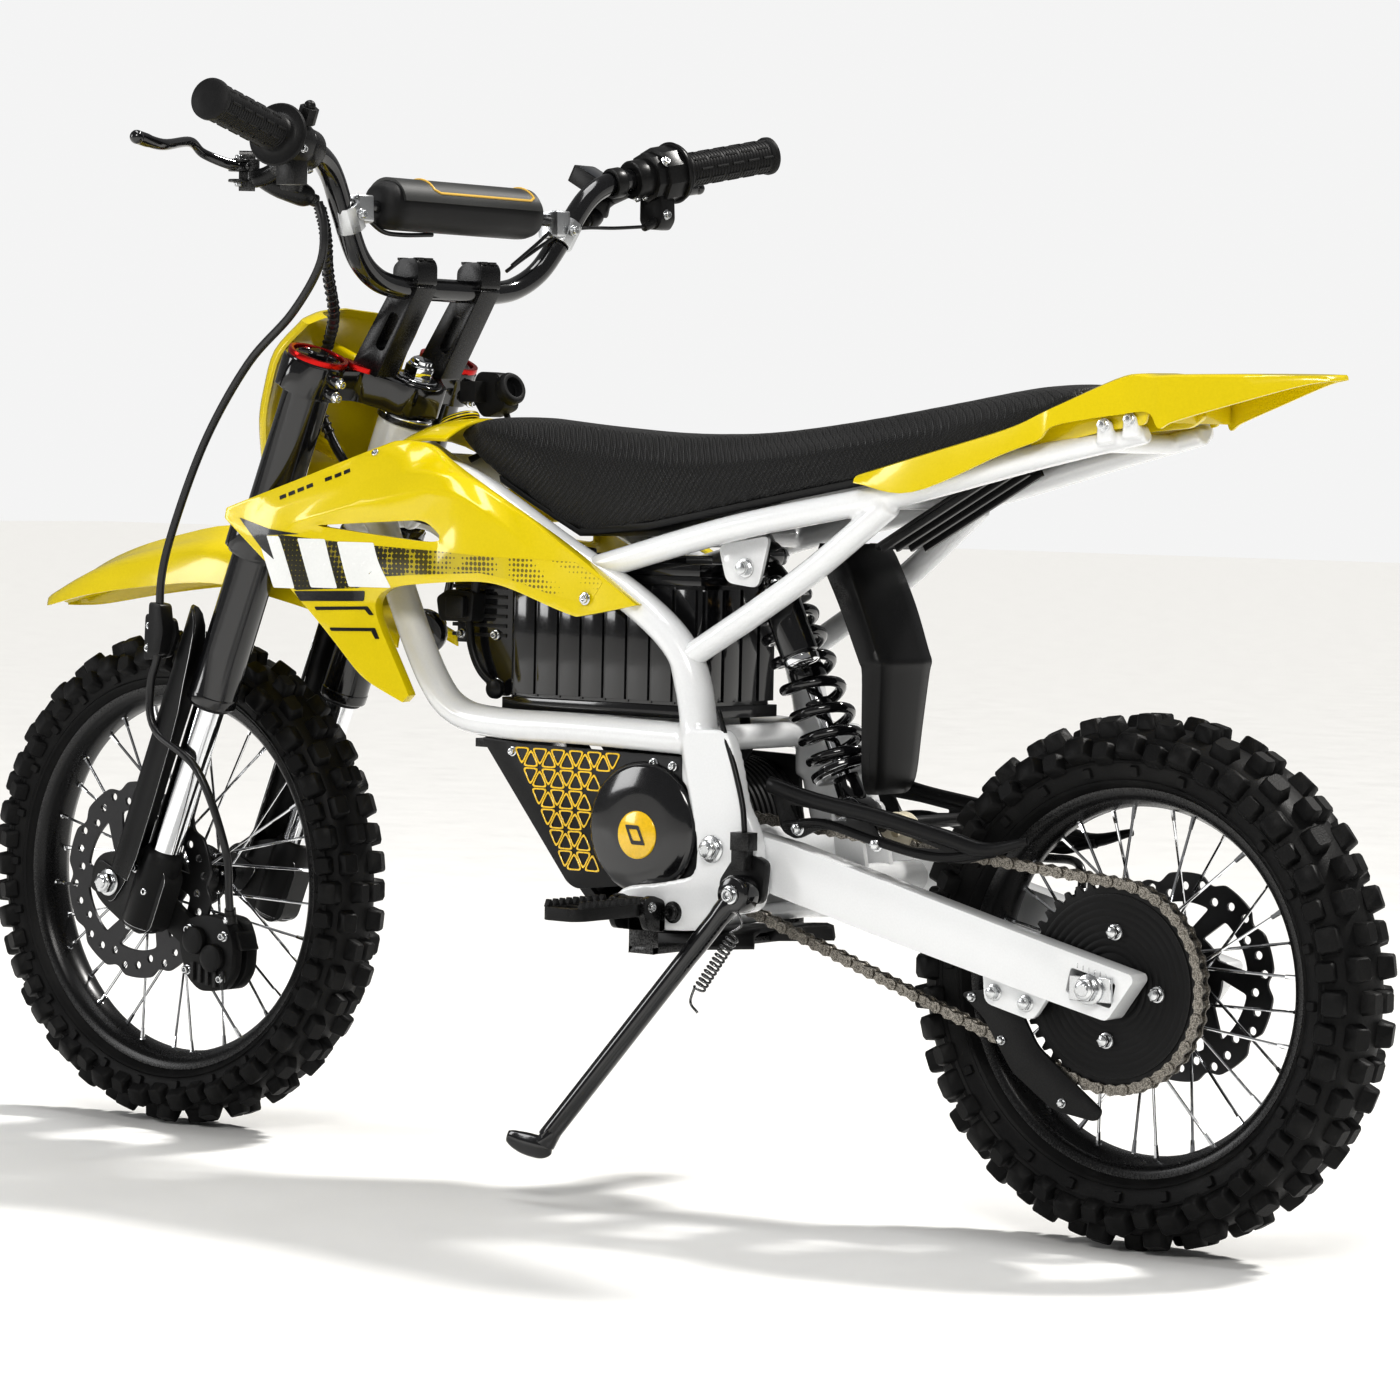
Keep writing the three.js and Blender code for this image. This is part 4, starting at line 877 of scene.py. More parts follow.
def add_subframe():
    shape = Shape()
    rail = curve([(566, 81, 573), (400, 80, 616), (236, 70, 648), (100, 60, 682), (-14, 46, 706)], 10)
    shape.sweep(rail, [13.4] * (len(rail) - 12) + [13.2 - 0.36 * i for i in range(12)], section=oval(0.9, 1.0))
    shape.sweep(curve([(450, 86, 494), (330, 80, 568), (236, 71, 640)], 8), 12.3, section=oval(0.95, 1.02))
    for x, y, z in ((17, 62, 704), (-6, 57, 709)):
        shape.plate(rounded([(x - 10, z - 6), (x + 10, z - 8), (x + 7, z + 14), (x - 5, z + 14)], 5), y - 2, y + 5)
    shape.mirror()
    for x, y, z in ((236, 70, 645), (20, 48, 698), (444, 80, 606)):
        shape.rod((x, -y, z), (x, y, z), 9, 16)
    for side in (-1, 1):
        ear = [(411, 582), (435, 580), (458, 606), (434, 612)]
        shape.plate(rounded(ear, 7), min(side * 16, side * 22), max(side * 16, side * 22))
    piece("rear_subframe_welded", shape, "white", "frame", "rear_subframe", voxel=2.1, smooth=5)
    tabs = Shape()
    tabs.plate(rounded([(372, 610), (430, 600), (420, 566), (384, 562)], 8), 60, 64)
    tabs.look = 1
    tabs.bolt((398, 64, 580), Y, 9, 7)
    for x, y, z in ((17, 67, 713), (-6, 62, 718)):
        tabs.bolt((x, y, z), Y, 6, 5)
        tabs.bolt((x, -y, z), -Y, 6, 5)
    tabs.rod((425, -25, 590), (425, 25, 590), 6.4, 20)
    tabs.bolt((425, 22, 590), Y, 9, 7)
    tabs.bolt((425, -22, 590), -Y, 9, 7)
    piece("subframe_tabs", tabs, "white steel", "frame", bevel=0.8)


def arm_point(back, y, rise=0.0):
    a = math.atan2(PIVOT.z - REAR_AXLE.z, PIVOT.x)
    return Vector((PIVOT.x - back * math.cos(a) - rise * math.sin(a), y,
                   PIVOT.z - back * math.sin(a) + rise * math.cos(a)))


def arm_rim(points):
    return [(p.x, p.z) for p in (arm_point(b, 0, r) for b, r in points)]


def add_swingarm():
    length = math.hypot(PIVOT.x, PIVOT.z - REAR_AXLE.z)
    outer = arm_rim([(-17, -14), (-22, 0), (-17, 14), (20, 22), (70, 25), (200, 24), (length - 60, 23),
                     (length + 34, 23),
                     (length + 37, 18), (length + 20, -23), (length - 40, -24), (200, -25), (60, -24), (20, -20)])
    window = arm_rim([(length - 26, -11), (length + 21, -11), (length + 21, 11), (length - 26, 11)])
    shape = Shape()
    shape.plate(rounded(outer, 5, 3), 66, 90, [rounded(window, 3, 3)])
    tab = arm_rim([(length - 112, -50), (length - 60, -50), (length - 48, -20), (length - 122, -20)])
    shape.plate(rounded(tab, 8), 70, 76)
    shape.put(*mirror_plate(rounded(outer, 5, 3), 66, 90, [rounded(window, 3, 3)]))
    shape.rod((PIVOT.x, -68, PIVOT.z), (PIVOT.x, 68, PIVOT.z), 20, 32)
    shape.rod(arm_point(105, -68, -2), arm_point(105, 68, -2), 15, 28)
    for side in (-1, 1):
        ear = [(330, 372), (300, 372), (286, 300), (318, 300)]
        shape.plate(rounded(ear, 10), side * 19 - 3, side * 19 + 3)
    piece("swingarm_box", shape, "white", "swingarm", "swingarm", bevel=3.2, segments=3)
    trim = Shape()
    for back, rise in ((length - 104, -38), (length - 70, -37)):
        trim.bolt(arm_point(back, 76, rise), Y, 7.5, 6)
    for side in (-1, 1):
        x = REAR_AXLE.x + 47
        trim.rod((x + 14, side * 78, 243.5), (x - 30, side * 78, 238.5), 3.2, 14)
        trim.bolt((x + 4, side * 78, 242), (-1, 0, 0), 6.5, 6)
        for i in range(6):
            mark = arm_point(length - 20 + i * 6, side * 90, 14.5)
            trim.box((mark.x - 0.5, min(mark.y, mark.y + side * 0.3), mark.z - 2),
                     (mark.x + 0.5, max(mark.y, mark.y + side * 0.3), mark.z + 2))
    piece("arm_bolts", trim, "steel", "swingarm", bevel=0.4, segments=1)
    guide = Shape()
    rim_points = rounded([(152, 216), (126, 196), (96, 152), (52, 122), (8, 116), (2, 126), (30, 146),
                          (70, 176), (92, 212), (120, 222)], 8)
    guide.plate(rim_points, 64.4, 68)
    guide.look = 1
    for x, z in ((139, 213), (107, 178), (43, 129)):
        guide.bolt((x, 68, z), Y, 4.5, 3)
    piece("chain_guide", guide, "plastic steel", "swingarm", bevel=0.8)


def mirror_plate(rim_points, low, high, holes):
    """Points and faces of a plate on the bike's right side."""
    made = Shape().plate(rim_points, low, high, holes).flipped()
    return made.points, made.faces


def add_guards():
    """A guard over each arm with its lower rib and windows, their bolts, and the chain's roller."""
    shape = Shape()
    for side in (1, -1):
        part = Shape()
        top = curve([(352, 84, 388), (300, 84, 376), (232, 84, 366), (160, 84, 352), (118, 84, 344),
                     (74, 84, 354)], 6)
        part.sweep(top, [7.5] * (len(top) - 8) + [7.2 - 0.55 * i for i in range(8)], section=oval(1.0, 0.72))
        web = [(352, 386), (338, 346), (322, 340), (300, 350), (270, 352), (236, 340), (190, 332), (140, 330),
               (108, 340),
               (120, 346), (180, 352), (240, 364), (300, 374)]
        windows = [[(330, 371), (322, 358), (300, 358), (268, 360), (268, 363), (300, 368)],
                   [(238, 358), (230, 348), (196, 341), (166, 341), (196, 349)]]
        part.plate(rounded(web, 6), 78, 82, [rounded(w, 2) for w in windows])
        part.sweep(curve([(336, 81, 352), (292, 81, 356), (236, 81, 344), (170, 81, 334), (110, 81, 342)], 6),
                   4.5, 10)
        if side < 0:
            part.flipped()
        shape.put(part.points, part.faces)
    shape.rod((240, -80, 357), (240, 80, 357), 6, 16)
    piece("chain_guard_moulded", shape, "plastic", "swingarm", "chain_guard", bevel=1.2)
    bolts = Shape()
    for side in (-1, 1):
        for x, z in ((320, 350), (234, 341)):
            bolts.bolt((x, side * 82, z), Y * side, 6.5, 5)
    piece("guard_bolts", bolts, "steel", "swingarm", bevel=0.4, segments=1)
    roller = Shape()
    roller.lathe([(5, 50), (17, 50), (18, 52), (15, 55), (15, 61), (18, 64), (17, 66), (5, 66)], (226, 0, 352), Y, 40)
    piece("chain_roller", roller, "cream", "swingarm", bevel=0.5)


# ------------------------------------------------------------ battery, motor, skid


HORN = Vector((812, 20, 508))


def add_battery():
    shape = Shape()
    shape.plate(rounded([(454, -50), (462, -57), (674, -57), (682, -50), (682, 50), (674, 57), (462, 57),
                         (454, 50)], 4), 449, 562, [],
                Matrix.Identity(4))
    for side in (-1, 1):
        for k in range(8):
            x = 469 + k * 27
            shape.plate([(x - 11.4, 455), (x + 11.4, 455), (x + 11.4, 558), (x - 11.4, 558)],
                        *sorted((side * 56, side * 60)))
            shape.rod((x + 13.5, side * 57, 453), (x + 13.5, side * 57, 560), 1.6, 10)
    for k in range(4):
        y = -40.5 + 27 * k
        shape.box((450, y - 11.2, 455), (456, y + 11.2, 558))
    shape.box((450, -62, 562), (688, 62, 570))
    shape.box((454, -59, 570), (684, 59, 581))
    shape.box((452, -60, 440), (684, 60, 451))
    shape.box((500, -20, 581), (640, 20, 588))
    piece("battery_case_panelled", shape, "gloss", "frame", "battery_case", bevel=1.8, segments=3)
    box = Shape()
    box.box((694, -46, 500), (752, 46, 566))
    for k in range(7):
        z = 506 + 9 * k
        box.box((690, -49, z), (756, 49, z + 3.5))
    box.look = 1
    for side in (-1, 1):
        for x, z in ((702, 494), (744, 494)):
            box.bolt((x, side * 49, z + 14), Y * side, 5, 4, "cap")
    piece("controller_finned", box, "plastic steel", "frame", "controller", bevel=1.0)
    cover = Shape()
    cover.plate(rounded([(683, 451), (683, 566), (757, 566), (752, 540), (736, 496), (712, 458), (706, 451)],
                        6), 46.4, 47.9)
    cover.mirror()
    cover.look = 1
    cover.bolt((700, 47.9, 462), Y, 6, 3.5, "cap")
    piece("battery_side_cover", cover, "gloss steel", "frame", bevel=0.5, segments=1)
    plug = Shape()
    plug.plate(rounded([(718, 520), (758, 520), (762, 542), (748, 550), (716, 548)], 4), 48, 66)
    plug.plate(rounded([(724, 524), (746, 524), (746, 544), (724, 544)], 3), 66, 72)
    plug.lathe([(0, 58), (9, 58), (9.6, 60), (9, 64), (5, 65.4), (0, 65.4)], (692, 0, 458), Y, 28)
    plug.sweep(curve([(722, 58, 546), (712, 60, 572), (696, 56, 590), (660, 46, 596), (600, 30, 588)], 8), 4.6, 14)
    plug.sweep(curve([(728, 58, 522), (724, 58, 496), (714, 56, 474), (700, 48, 458)], 8), 4, 14)
    piece("battery_plug", plug, "plastic", "frame", bevel=0.9)
    horn = Shape()
    horn.lathe([(0, 0), (20, 0), (22, 2), (22, 8), (19, 12), (9, 14), (0, 14)], HORN, (-0.3, 0.9, -0.2), 40)
    horn.rod(HORN, HORN + Vector((8, -30, 6)), 6, 16)
    horn.rod(HORN + Vector((8, -30, 6)), (800, 0, 560), 4, 12)
    piece("horn", horn, "gloss", "frame", bevel=0.5)
    cap = Shape()
    cap.plate(rounded([(768, 722), (796, 712), (812, 734), (804, 758), (776, 756)], 8), -60, -38)
    cap.lathe([(10, 0), (15, 0), (16, 2), (16, 9), (14, 12), (10, 12), (10, 4), (8, 4)], (776, -49, 739),
              (-0.93, 0.1, 0.35), 36)
    cap.box((792, -40, 728), (812, -22, 748))
    cap.sweep(curve([(786, -60, 722), (778, -56, 700), (786, -40, 684), (800, -24, 672)], 6), 3, 12)
    piece("charge_port_cap", cap, "rubber", "frame", bevel=1.5)


def add_motor():
    x, z = MOTOR_AXIS.x, MOTOR_AXIS.z
    shape = Shape()
    profile = [(0, -80), (60, -80), (64, -77)]
    for k in range(14):
        y = -70 + k * 8
        profile += [(66, y - 2), (66, y + 2), (61.5, y + 2.6), (61.5, y + 5.2)]
    profile += [(64, 43), (60, 46), (20, 46), (20, 50), (9, 50), (9, 66), (0, 66)]
    shape.lathe(profile, (x, 0, z), Y, 96)
    right = [(655, 410), (440, 404), (433, 309), (438, 298), (576, 280), (680, 407)]
    shape.put(*mirror_plate(rounded(right, 8), 78, 84, []))
    shape.look = 1
    for bx, bz in ((642, 401), (473, 397), (443, 312), (570, 290)):
        shape.bolt((bx, -84, bz), -Y, 5.5, 4, "cap")
    shape.look = 0
    shape.put(*mirror_plate(ring_of(54, 64, (x, z)), 84, 88, []))
    shape.sweep(curve([(470, -20, 392), (462, -30, 412), (470, -34, 440)], 6), 5, 12)
    piece("motor_finned", shape, "cast steel", "frame", "motor", bevel=0.5, segments=1)
    add_motor_plate()


def inside(point, rim_points):
    """Whether a flat point is inside an outline."""
    hit = False
    for i, (x1, z1) in enumerate(rim_points):
        x2, z2 = rim_points[i - 1]
        if (z1 > point[1]) != (z2 > point[1]) and point[0] < (x2 - x1) * (point[1] - z1) / (z2 - z1) + x1:
            hit = not hit
    return hit


def add_motor_plate():
    """The side plate with a raised net of rounded triangles, the round cover with its badge, and bolts."""
    rim_points = rounded([(690, 414), (640, 410), (450, 407), (442, 398), (420, 302), (432, 295), (572, 279),
                          (583, 284)], 6)
    plate = Shape().plate(rim_points, 78.4, 83)
    plate.box((676, 60, 404), (700, 78.6, 412))
    piece("motor_side_plate", plate, "plastic", "frame", "motor_plate", bevel=1.0)
    field = [(656, 410), (476, 405), (476, 330), (540, 280), (584, 280)]
    net = Shape()
    step, rise = 21.5, 18.6
    for i in range(-2, 14):
        for j in range(-1, 12):
            for up in (1, -1):
                cx = 478 + step * (i + 0.5 * (j % 2)) + (step / 2 if up < 0 else 0)
                cz = 277 + rise * j + (rise / 3 if up > 0 else 2 * rise / 3)
                corners = [(cx - step / 2, cz - up * rise / 3), (cx + step / 2, cz - up * rise / 3),
                           (cx, cz + up * 2 * rise / 3)]
                if not inside((cx, cz), field) or not all(inside(c, rim_points)
                        for c in corners) or math.hypot(cx - 493, cz - 340) < 67:
                    continue
                big = rounded([between((cx, cz), c, 0.95)[:] for c in corners], 5.0, 3)
                small = rounded([between((cx, cz), c, 0.70)[:] for c in corners], 3.6, 3)
                net.plate(big, 83, 83.9, [small])
    piece("plate_net", net, "amber", "frame", bevel=0.2, segments=1)
    cover = Shape()
    cover.lathe([(0, 83.2), (61, 83.2), (61, 86), (59, 89), (55, 91), (30, 91.6), (0, 92)], (493, 0, 340), Y, 96)
    piece("motor_cover_domed", cover, "gloss", "frame", "motor_cover", bevel=0.0)
    badge = Shape()
    badge.lathe([(0, 91.6), (22, 91.4), (22, 92.6), (20.5, 93.2), (0, 93.6)], (495, 0, 334), Y, 56)
    badge.look = 1
    bar = rounded([(484, 325), (500, 325), (508, 343), (492, 343)], 2)
    badge.plate(bar, 93.2, 93.9, [rounded([(489, 329), (498, 329), (503, 339), (494, 339)], 1)])
    piece("cover_badge", badge, "amber print_black", "frame", bevel=0.15, segments=1)
    bolts = Shape()
    for x, z in ((651, 402), (484, 400), (462, 398), (441, 318)):
        bolts.bolt((x, 83, z), Y, 4.6, 3.4, "cap")
    piece("plate_bolts", bolts, "steel", "frame", bevel=0.3, segments=1)


def add_skid():
    spine = [(712, 0, 430), (704, 0, 410), (650, 0, 345), (582, 0, 270), (560, 0, 256), (539, 0, 246),
             (460, 0, 247), (383, 0, 253)]
    spine = curve(spine, 5)
    rings = []
    for i, p in enumerate(spine):
        ahead = (spine[min(i + 1, len(spine) - 1)] - spine[max(i - 1, 0)]).normalized()
        out = Vector((ahead.z, 0, -ahead.x))
        if out.z > 0 and out.x < 0:
            out = -out
        row_points = []
        for y, rise in ((-64, 14), (-62, 3), (-52, 0), (-30, -1.5), (0, 0), (30, -1.5), (52, 0), (62, 3), (64, 14)):
            row_points.append(p + Vector((0, y, 0)) - out * rise)
        back = [q + (-out) * 3.2 + Vector((0, -math.copysign(2.5, q.y) if abs(q.y) > 60 else 0, 0))
                for q in reversed(row_points)]
        rings.append(row_points + back)
    shape = Shape().skin(rings)
    for y in (-40, -20, 20, 40):
        shape.sweep([p + Vector((0, y, 0)) for p in spine[8:26]], 2.4, 10)
    piece("skid_plate_ribbed", shape, "plastic", "frame", "skid_plate", bevel=0.5)


# -------------------------------------------------------------------------- shock


SHOCK_TOP, SHOCK_LOW = Vector((425, 0, 590)), Vector((314, 0, 362))


def add_shock():
    span = (SHOCK_TOP - SHOCK_LOW).length
    along = (SHOCK_TOP - SHOCK_LOW) / span

    def at(t, y=0.0):
        return SHOCK_LOW + along * t + Y * y

    body = Shape()
    body.lathe([(6.8, 128), (15.5, 128), (16.5, 131), (16.5, 140), (15.4, 142), (15.4, 200), (16, 202),
                (16, span - 26),
                (12, span - 14), (6.8, span - 14)], SHOCK_LOW, along, 48)
    for k in range(16):
        t = 146 + k * 3.4
        body.lathe([(15.2, t), (16.2, t + 1), (15.2, t + 2)], SHOCK_LOW, along, 40)
    body.lathe([(15, 203), (28, 203), (29.5, 205), (29.5, 210), (26, 213), (15, 213)], SHOCK_LOW, along, 48)
    body.lathe([(7, -12), (13.5, -12), (14, -10), (14, 10), (13.5, 12), (7, 12)], SHOCK_TOP, Y, 36)
    body.rod(at(span - 22), at(span - 8), 11, 24)
    top, low = Vector((374.5, 46, 558.3)), Vector((346.5, 46, 498.3))
    down = (low - top).normalized()
    body.lathe([(0, -8), (12, -8), (17, -4), (17.4, 0), (17.4, 60), (15, 61), (15, 63), (0, 63)], top, down, 48)
    body.sweep(curve([at(222), at(222) + Vector((-16, 22, 4)), top - down * 4 + Vector((10, -8, 0)),
                      top + down * 4], 6), 8.5, 16)
    body.look = 1
    body.lathe([(15, 214), (22, 214), (22.5, 216), (22.5, 219), (21, 221), (15, 221)], SHOCK_LOW, along, 40)
    body.lathe([(15, 5), (18.2, 5), (18.8, 7), (18.2, 10), (15, 10)], top, down, 48)
    body.look = 2
    body.lathe([(0, 62), (15.5, 62), (16.5, 64), (16, 69), (12, 71), (4, 71.5), (0, 71.5)], top, down, 48)
    body.bolt(top - down * 8, -down, 6, 4)
    piece("shock_body_piggyback", body, "gloss gold chrome", "frame", "shock_body", bevel=0.5)
    rod = Shape()
    rod.rod(at(12), at(182), 6.4, 32)
    rod.look = 1
    rod.lathe([(7, 36), (27, 36), (29.5, 39), (29.5, 44), (22, 47), (7, 47)], SHOCK_LOW, along, 48)
    rod.lathe([(0, 8), (11, 8), (13, 14), (12, 34), (0, 36)], SHOCK_LOW, along, 32)
    rod.lathe([(7, -13), (13.5, -13), (14, -10), (14, 10), (13.5, 13), (7, 13)], SHOCK_LOW, Y, 36)
    rod.lathe([(6.4, 99), (10, 99), (12, 103), (12, 109), (6.4, 109)], SHOCK_LOW, along, 32)
    rod.look = 2
    rod.rod(SHOCK_LOW - Y * 25, SHOCK_LOW + Y * 25, 6, 20)
    rod.bolt(SHOCK_LOW + Y * 22.5, Y, 8, 6)
    rod.bolt(SHOCK_LOW - Y * 22.5, -Y, 8, 6)
    piece("shock_rod_polished", rod, "chrome gloss steel", "shock_rod", "shock_rod", bevel=0.5)
    side = along.cross(Y)
    turns, low_t, high_t = 6.6, 50, 201
    coil = []
    for i in range(int(turns * 30) + 1):
        share = i / (turns * 30)
        a = 2 * math.pi * turns * share
        ends = min(1.0, share * turns, (1 - share) * turns)
        t = low_t + (high_t - low_t) * (share + 0.028 * math.sin(2 * math.pi * share) * -1)
        coil.append(at(t) + (side * math.cos(a) + Y * math.sin(a)) * 25 * (0.96 + 0.04 * ends))
    shape = Shape().sweep(coil, 4.9, 14)
    spring = piece("shock_spring_coil", shape, "gloss", None, "shock_spring", sharp=50)
    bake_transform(spring)


# --------------------------------------------------------------------------- seat


SEAT = [(772, 24, 693, 703), (752, 36, 683, 709), (735, 45, 675, 712), (700, 54, 657, 710.5),
        (660, 61, 639, 706), (590, 71, 609, 700),
        (500, 79, 617, 695), (400, 81, 636, 697.5), (300, 79, 655, 709), (200, 75, 674, 725),
        (110, 68, 697, 741), (52, 57, 730, 749)]


def seat_sections(spare=0.0, lift=0.0):
    """Rings round the seat, grown by a margin and lifted at the top where asked."""
    rings = []
    spine = curve([(x, low, top) for x, _, low, top in SEAT], 4)
    widths = curve([(x, half, 0) for x, half, _, _ in SEAT], 4)
    for p, w in zip(spine, widths):
        x, low, top = p
        half = w.y + spare
        low, top = low - spare, top + lift
        ring = [Vector((x, -half * 0.9, low)), Vector((x, -half, low + 2))]
        for k in range(13):
            a = math.pi * k / 12
            c, s = -math.cos(a), math.sin(a)
            y = half * 0.97 * math.copysign(abs(c) ** 0.62, c)
            rise = abs(s) ** 0.55 * (0.86 + 0.14 * s)
            ring.append(Vector((x, y, low + 6 + (top - low - 6) * max(0.0, rise))))
        ring += [Vector((x, half, low + 2)), Vector((x, half * 0.9, low)), Vector((x, half * 0.45, low)),
                 Vector((x, -half * 0.45, low))]
        rings.append(ring)
    return rings


SWELL_FRAMES = 20
BASE_SLICE = 0.02
BASE_HEIGHT = 0.008


def inflate(made, cap):
    """Lets the foam swell under its cover, held at its base, and keeps each point near its start."""
    rest = [v.co.copy() for v in made.data.vertices]
    low = {}
    for p in rest:
        key = round(p.x / BASE_SLICE)
        low[key] = min(low.get(key, 9), p.z)
    group = made.vertex_groups.new(name="base")
    held = [i for i, p in enumerate(rest) if p.z < low[round(p.x / BASE_SLICE)] + BASE_HEIGHT]
    group.add(held, 1.0, "REPLACE")
    cloth = made.modifiers.new("cloth", "CLOTH")
    cloth.settings.quality = 5
    cloth.settings.mass = 0.3
    cloth.settings.tension_stiffness = cloth.settings.compression_stiffness = 18
    cloth.settings.bending_stiffness = 1.5
    cloth.settings.vertex_group_mass = "base"
    cloth.settings.use_pressure = True
    cloth.settings.uniform_pressure_force = 4.0
    cloth.settings.effector_weights.gravity = 0.0
    cloth.collision_settings.use_collision = False
    cloth.point_cache.frame_end = SWELL_FRAMES
    scene = bpy.context.scene
    for number in range(1, SWELL_FRAMES + 1):
        scene.frame_set(number)
    graph = bpy.context.evaluated_depsgraph_get()
    swollen = [v.co.copy() for v in made.evaluated_get(graph).data.vertices]
    scene.frame_set(1)
    made.modifiers.clear()
    made.vertex_groups.clear()
    for vertex, start, end in zip(made.data.vertices, rest, swollen):
        move = end - start
        if move.length > cap:
            move *= cap / move.length
        vertex.co = start + move


def finish_foam(made, cap, rounds):
    """Swells the cover, then smooths it."""
    inflate(made, cap)
    made.modifiers.new("relax", "SMOOTH").iterations = rounds
    made.modifiers.new("fine", "SUBSURF").levels = 1
    settle(made)
    made.data.shade_smooth()


def add_seat():
    shape = Shape().skin(seat_sections())
    mesh = piece("seat_cover", shape, "seat", None, voxel=5.0, smooth=3)
    finish_foam(mesh, 0.006, 4)
    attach(mesh, "frame")
    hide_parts("seat")
    pan = Shape()
    rings = []
    for x, half, low, _ in SEAT[3:-1]:
        rings.append([(x, -half * 0.93, low - 5), (x, half * 0.93, low - 5), (x, half * 0.97, low + 2),
                      (x, -half * 0.97, low + 2)])
    pan.skin(rings)
    piece("seat_pan", pan, "plastic", "frame", bevel=1.5)


# ----------------------------------------------------------------- side panels


SHROUD_RIM = [
    (956, 150, 622), (918, 143, 636), (862, 130, 657), (812, 117, 677), (788, 99, 689), (766, 90, 690),
    (751, 87, 683), (738, 90, 674),
    (700, 97, 656), (640, 103, 628), (578, 107, 598), (530, 109, 570), (487, 110, 544), (520, 112, 537),
    (554, 113, 531),
    (578, 114, 537), (635, 116, 557), (665, 118, 561), (720, 122, 557), (764, 126, 553), (780, 128, 546),
    (786, 130, 532),
    (770, 131, 505), (752, 133, 478), (736, 134, 452), (742, 136, 445), (765, 139, 455), (788, 142, 466),
    (806, 144, 485),
    (830, 147, 510), (870, 149, 545), (914, 151, 580), (956, 152, 612),
]
SHROUD_WINDOW = [(851, 140, 607.5), (800, 133, 611), (738, 124, 615), (727, 122, 614), (714, 120, 602),
                 (714, 120, 597), (722, 121, 594),
                 (780, 130, 600)]
SHROUD_CREASES = [
    [(908, 150, 617), (884, 144, 627), (820, 131, 645), (756, 117, 664), (710, 112, 660)],
    [(884, 150, 606), (800, 138, 628), (708, 121, 652), (660, 115, 622), (600, 112, 590)],
]
SHROUD_FILL = [(925, 151, 605), (880, 149, 580), (830, 144, 560), (790, 137, 575), (740, 128, 578),
               (690, 123, 585), (690, 120, 615),
               (640, 117, 585), (590, 114, 560), (845, 148, 530), (800, 142, 500), (765, 137, 475),
               (800, 141, 540), (780, 112, 680),
               (842, 122, 660), (662, 112, 645), (760, 133, 625)]


def add_shrouds():
    rims = [SHROUD_RIM, SHROUD_WINDOW]
    points, edges, creased = [], [], []
    for one in rims:
        start = len(points)
        points += one
        edges += [(start + i, start + (i + 1) % len(one)) for i in range(len(one))]
    for line in SHROUD_CREASES:
        start = len(points)
        points += line
        creased += [(start + i, start + i + 1) for i in range(len(line) - 1)]
    points += SHROUD_FILL
    flat = [Vector((p[0], p[2])) for p in points]
    _, _, faces, _, _, _ = delaunay_2d_cdt(flat, edges + creased, [], 1, 1e-4)
    window = [(p[0], p[2]) for p in SHROUD_WINDOW]
    kept = [f for f in faces if not inside(sum((flat[i] for i in f), Vector((0, 0))) / 3, window)]
    mesh = bpy.data.meshes.new("shroud")
    mesh.from_pydata([Vector(p) for p in points], [], [tuple(f) for f in kept])
    solid = bmesh.new()
    solid.from_mesh(mesh)
    layer = solid.edges.layers.float.new("crease_edge")
    pairs = {frozenset(e) for e in creased}
    for e in solid.edges:
        if frozenset(v.index for v in e.verts) in pairs:
            e[layer] = 0.95
    corner = solid.verts.layers.float.new("crease_vert")
    solid.verts.ensure_lookup_table()
    first = len(SHROUD_RIM)
    for i in (0, 4, 12, 14, 22, 24, 25, 32, first, first + 2, first + 4, first + 5, first + 7):
        solid.verts[i][corner] = 0.85
    solid.to_mesh(mesh)
    made = bpy.data.objects.new("shroud", mesh)
    bpy.context.scene.collection.objects.link(made)
    fine = made.modifiers.new("fine", "SUBSURF")
    fine.levels = 3
    settle(made)
    skin = made.data
    tree_points = [v.co.copy() for v in skin.vertices]
    tree_faces = [tuple(p.vertices) for p in skin.polygons]
    bpy.data.objects.remove(made)
    for side, name in ((1, "left"), (-1, "right")):
        shape = Shape()
        add_shell(shape, tree_points, tree_faces, 2.6, 11.0)
        if side < 0:
            shape.flipped()
        piece("shroud_" + name + "_moulded", shape, "yellow", "frame", "shroud_" + name,
              bevel=0.9, segments=2, sharp=50)
        add_graphics(name, side, tree_points, tree_faces)
        bolt = Shape()
        bolt.bolt((544, side * 113, 548), Y * side, 6, 3, "cap")
        bolt.bolt((800, side * 112, 676), (0, side * 0.8, 0.6), 5, 3, "cap")
        piece("shroud_bolts_" + name, bolt, "steel", "frame", bevel=0.3, segments=1)


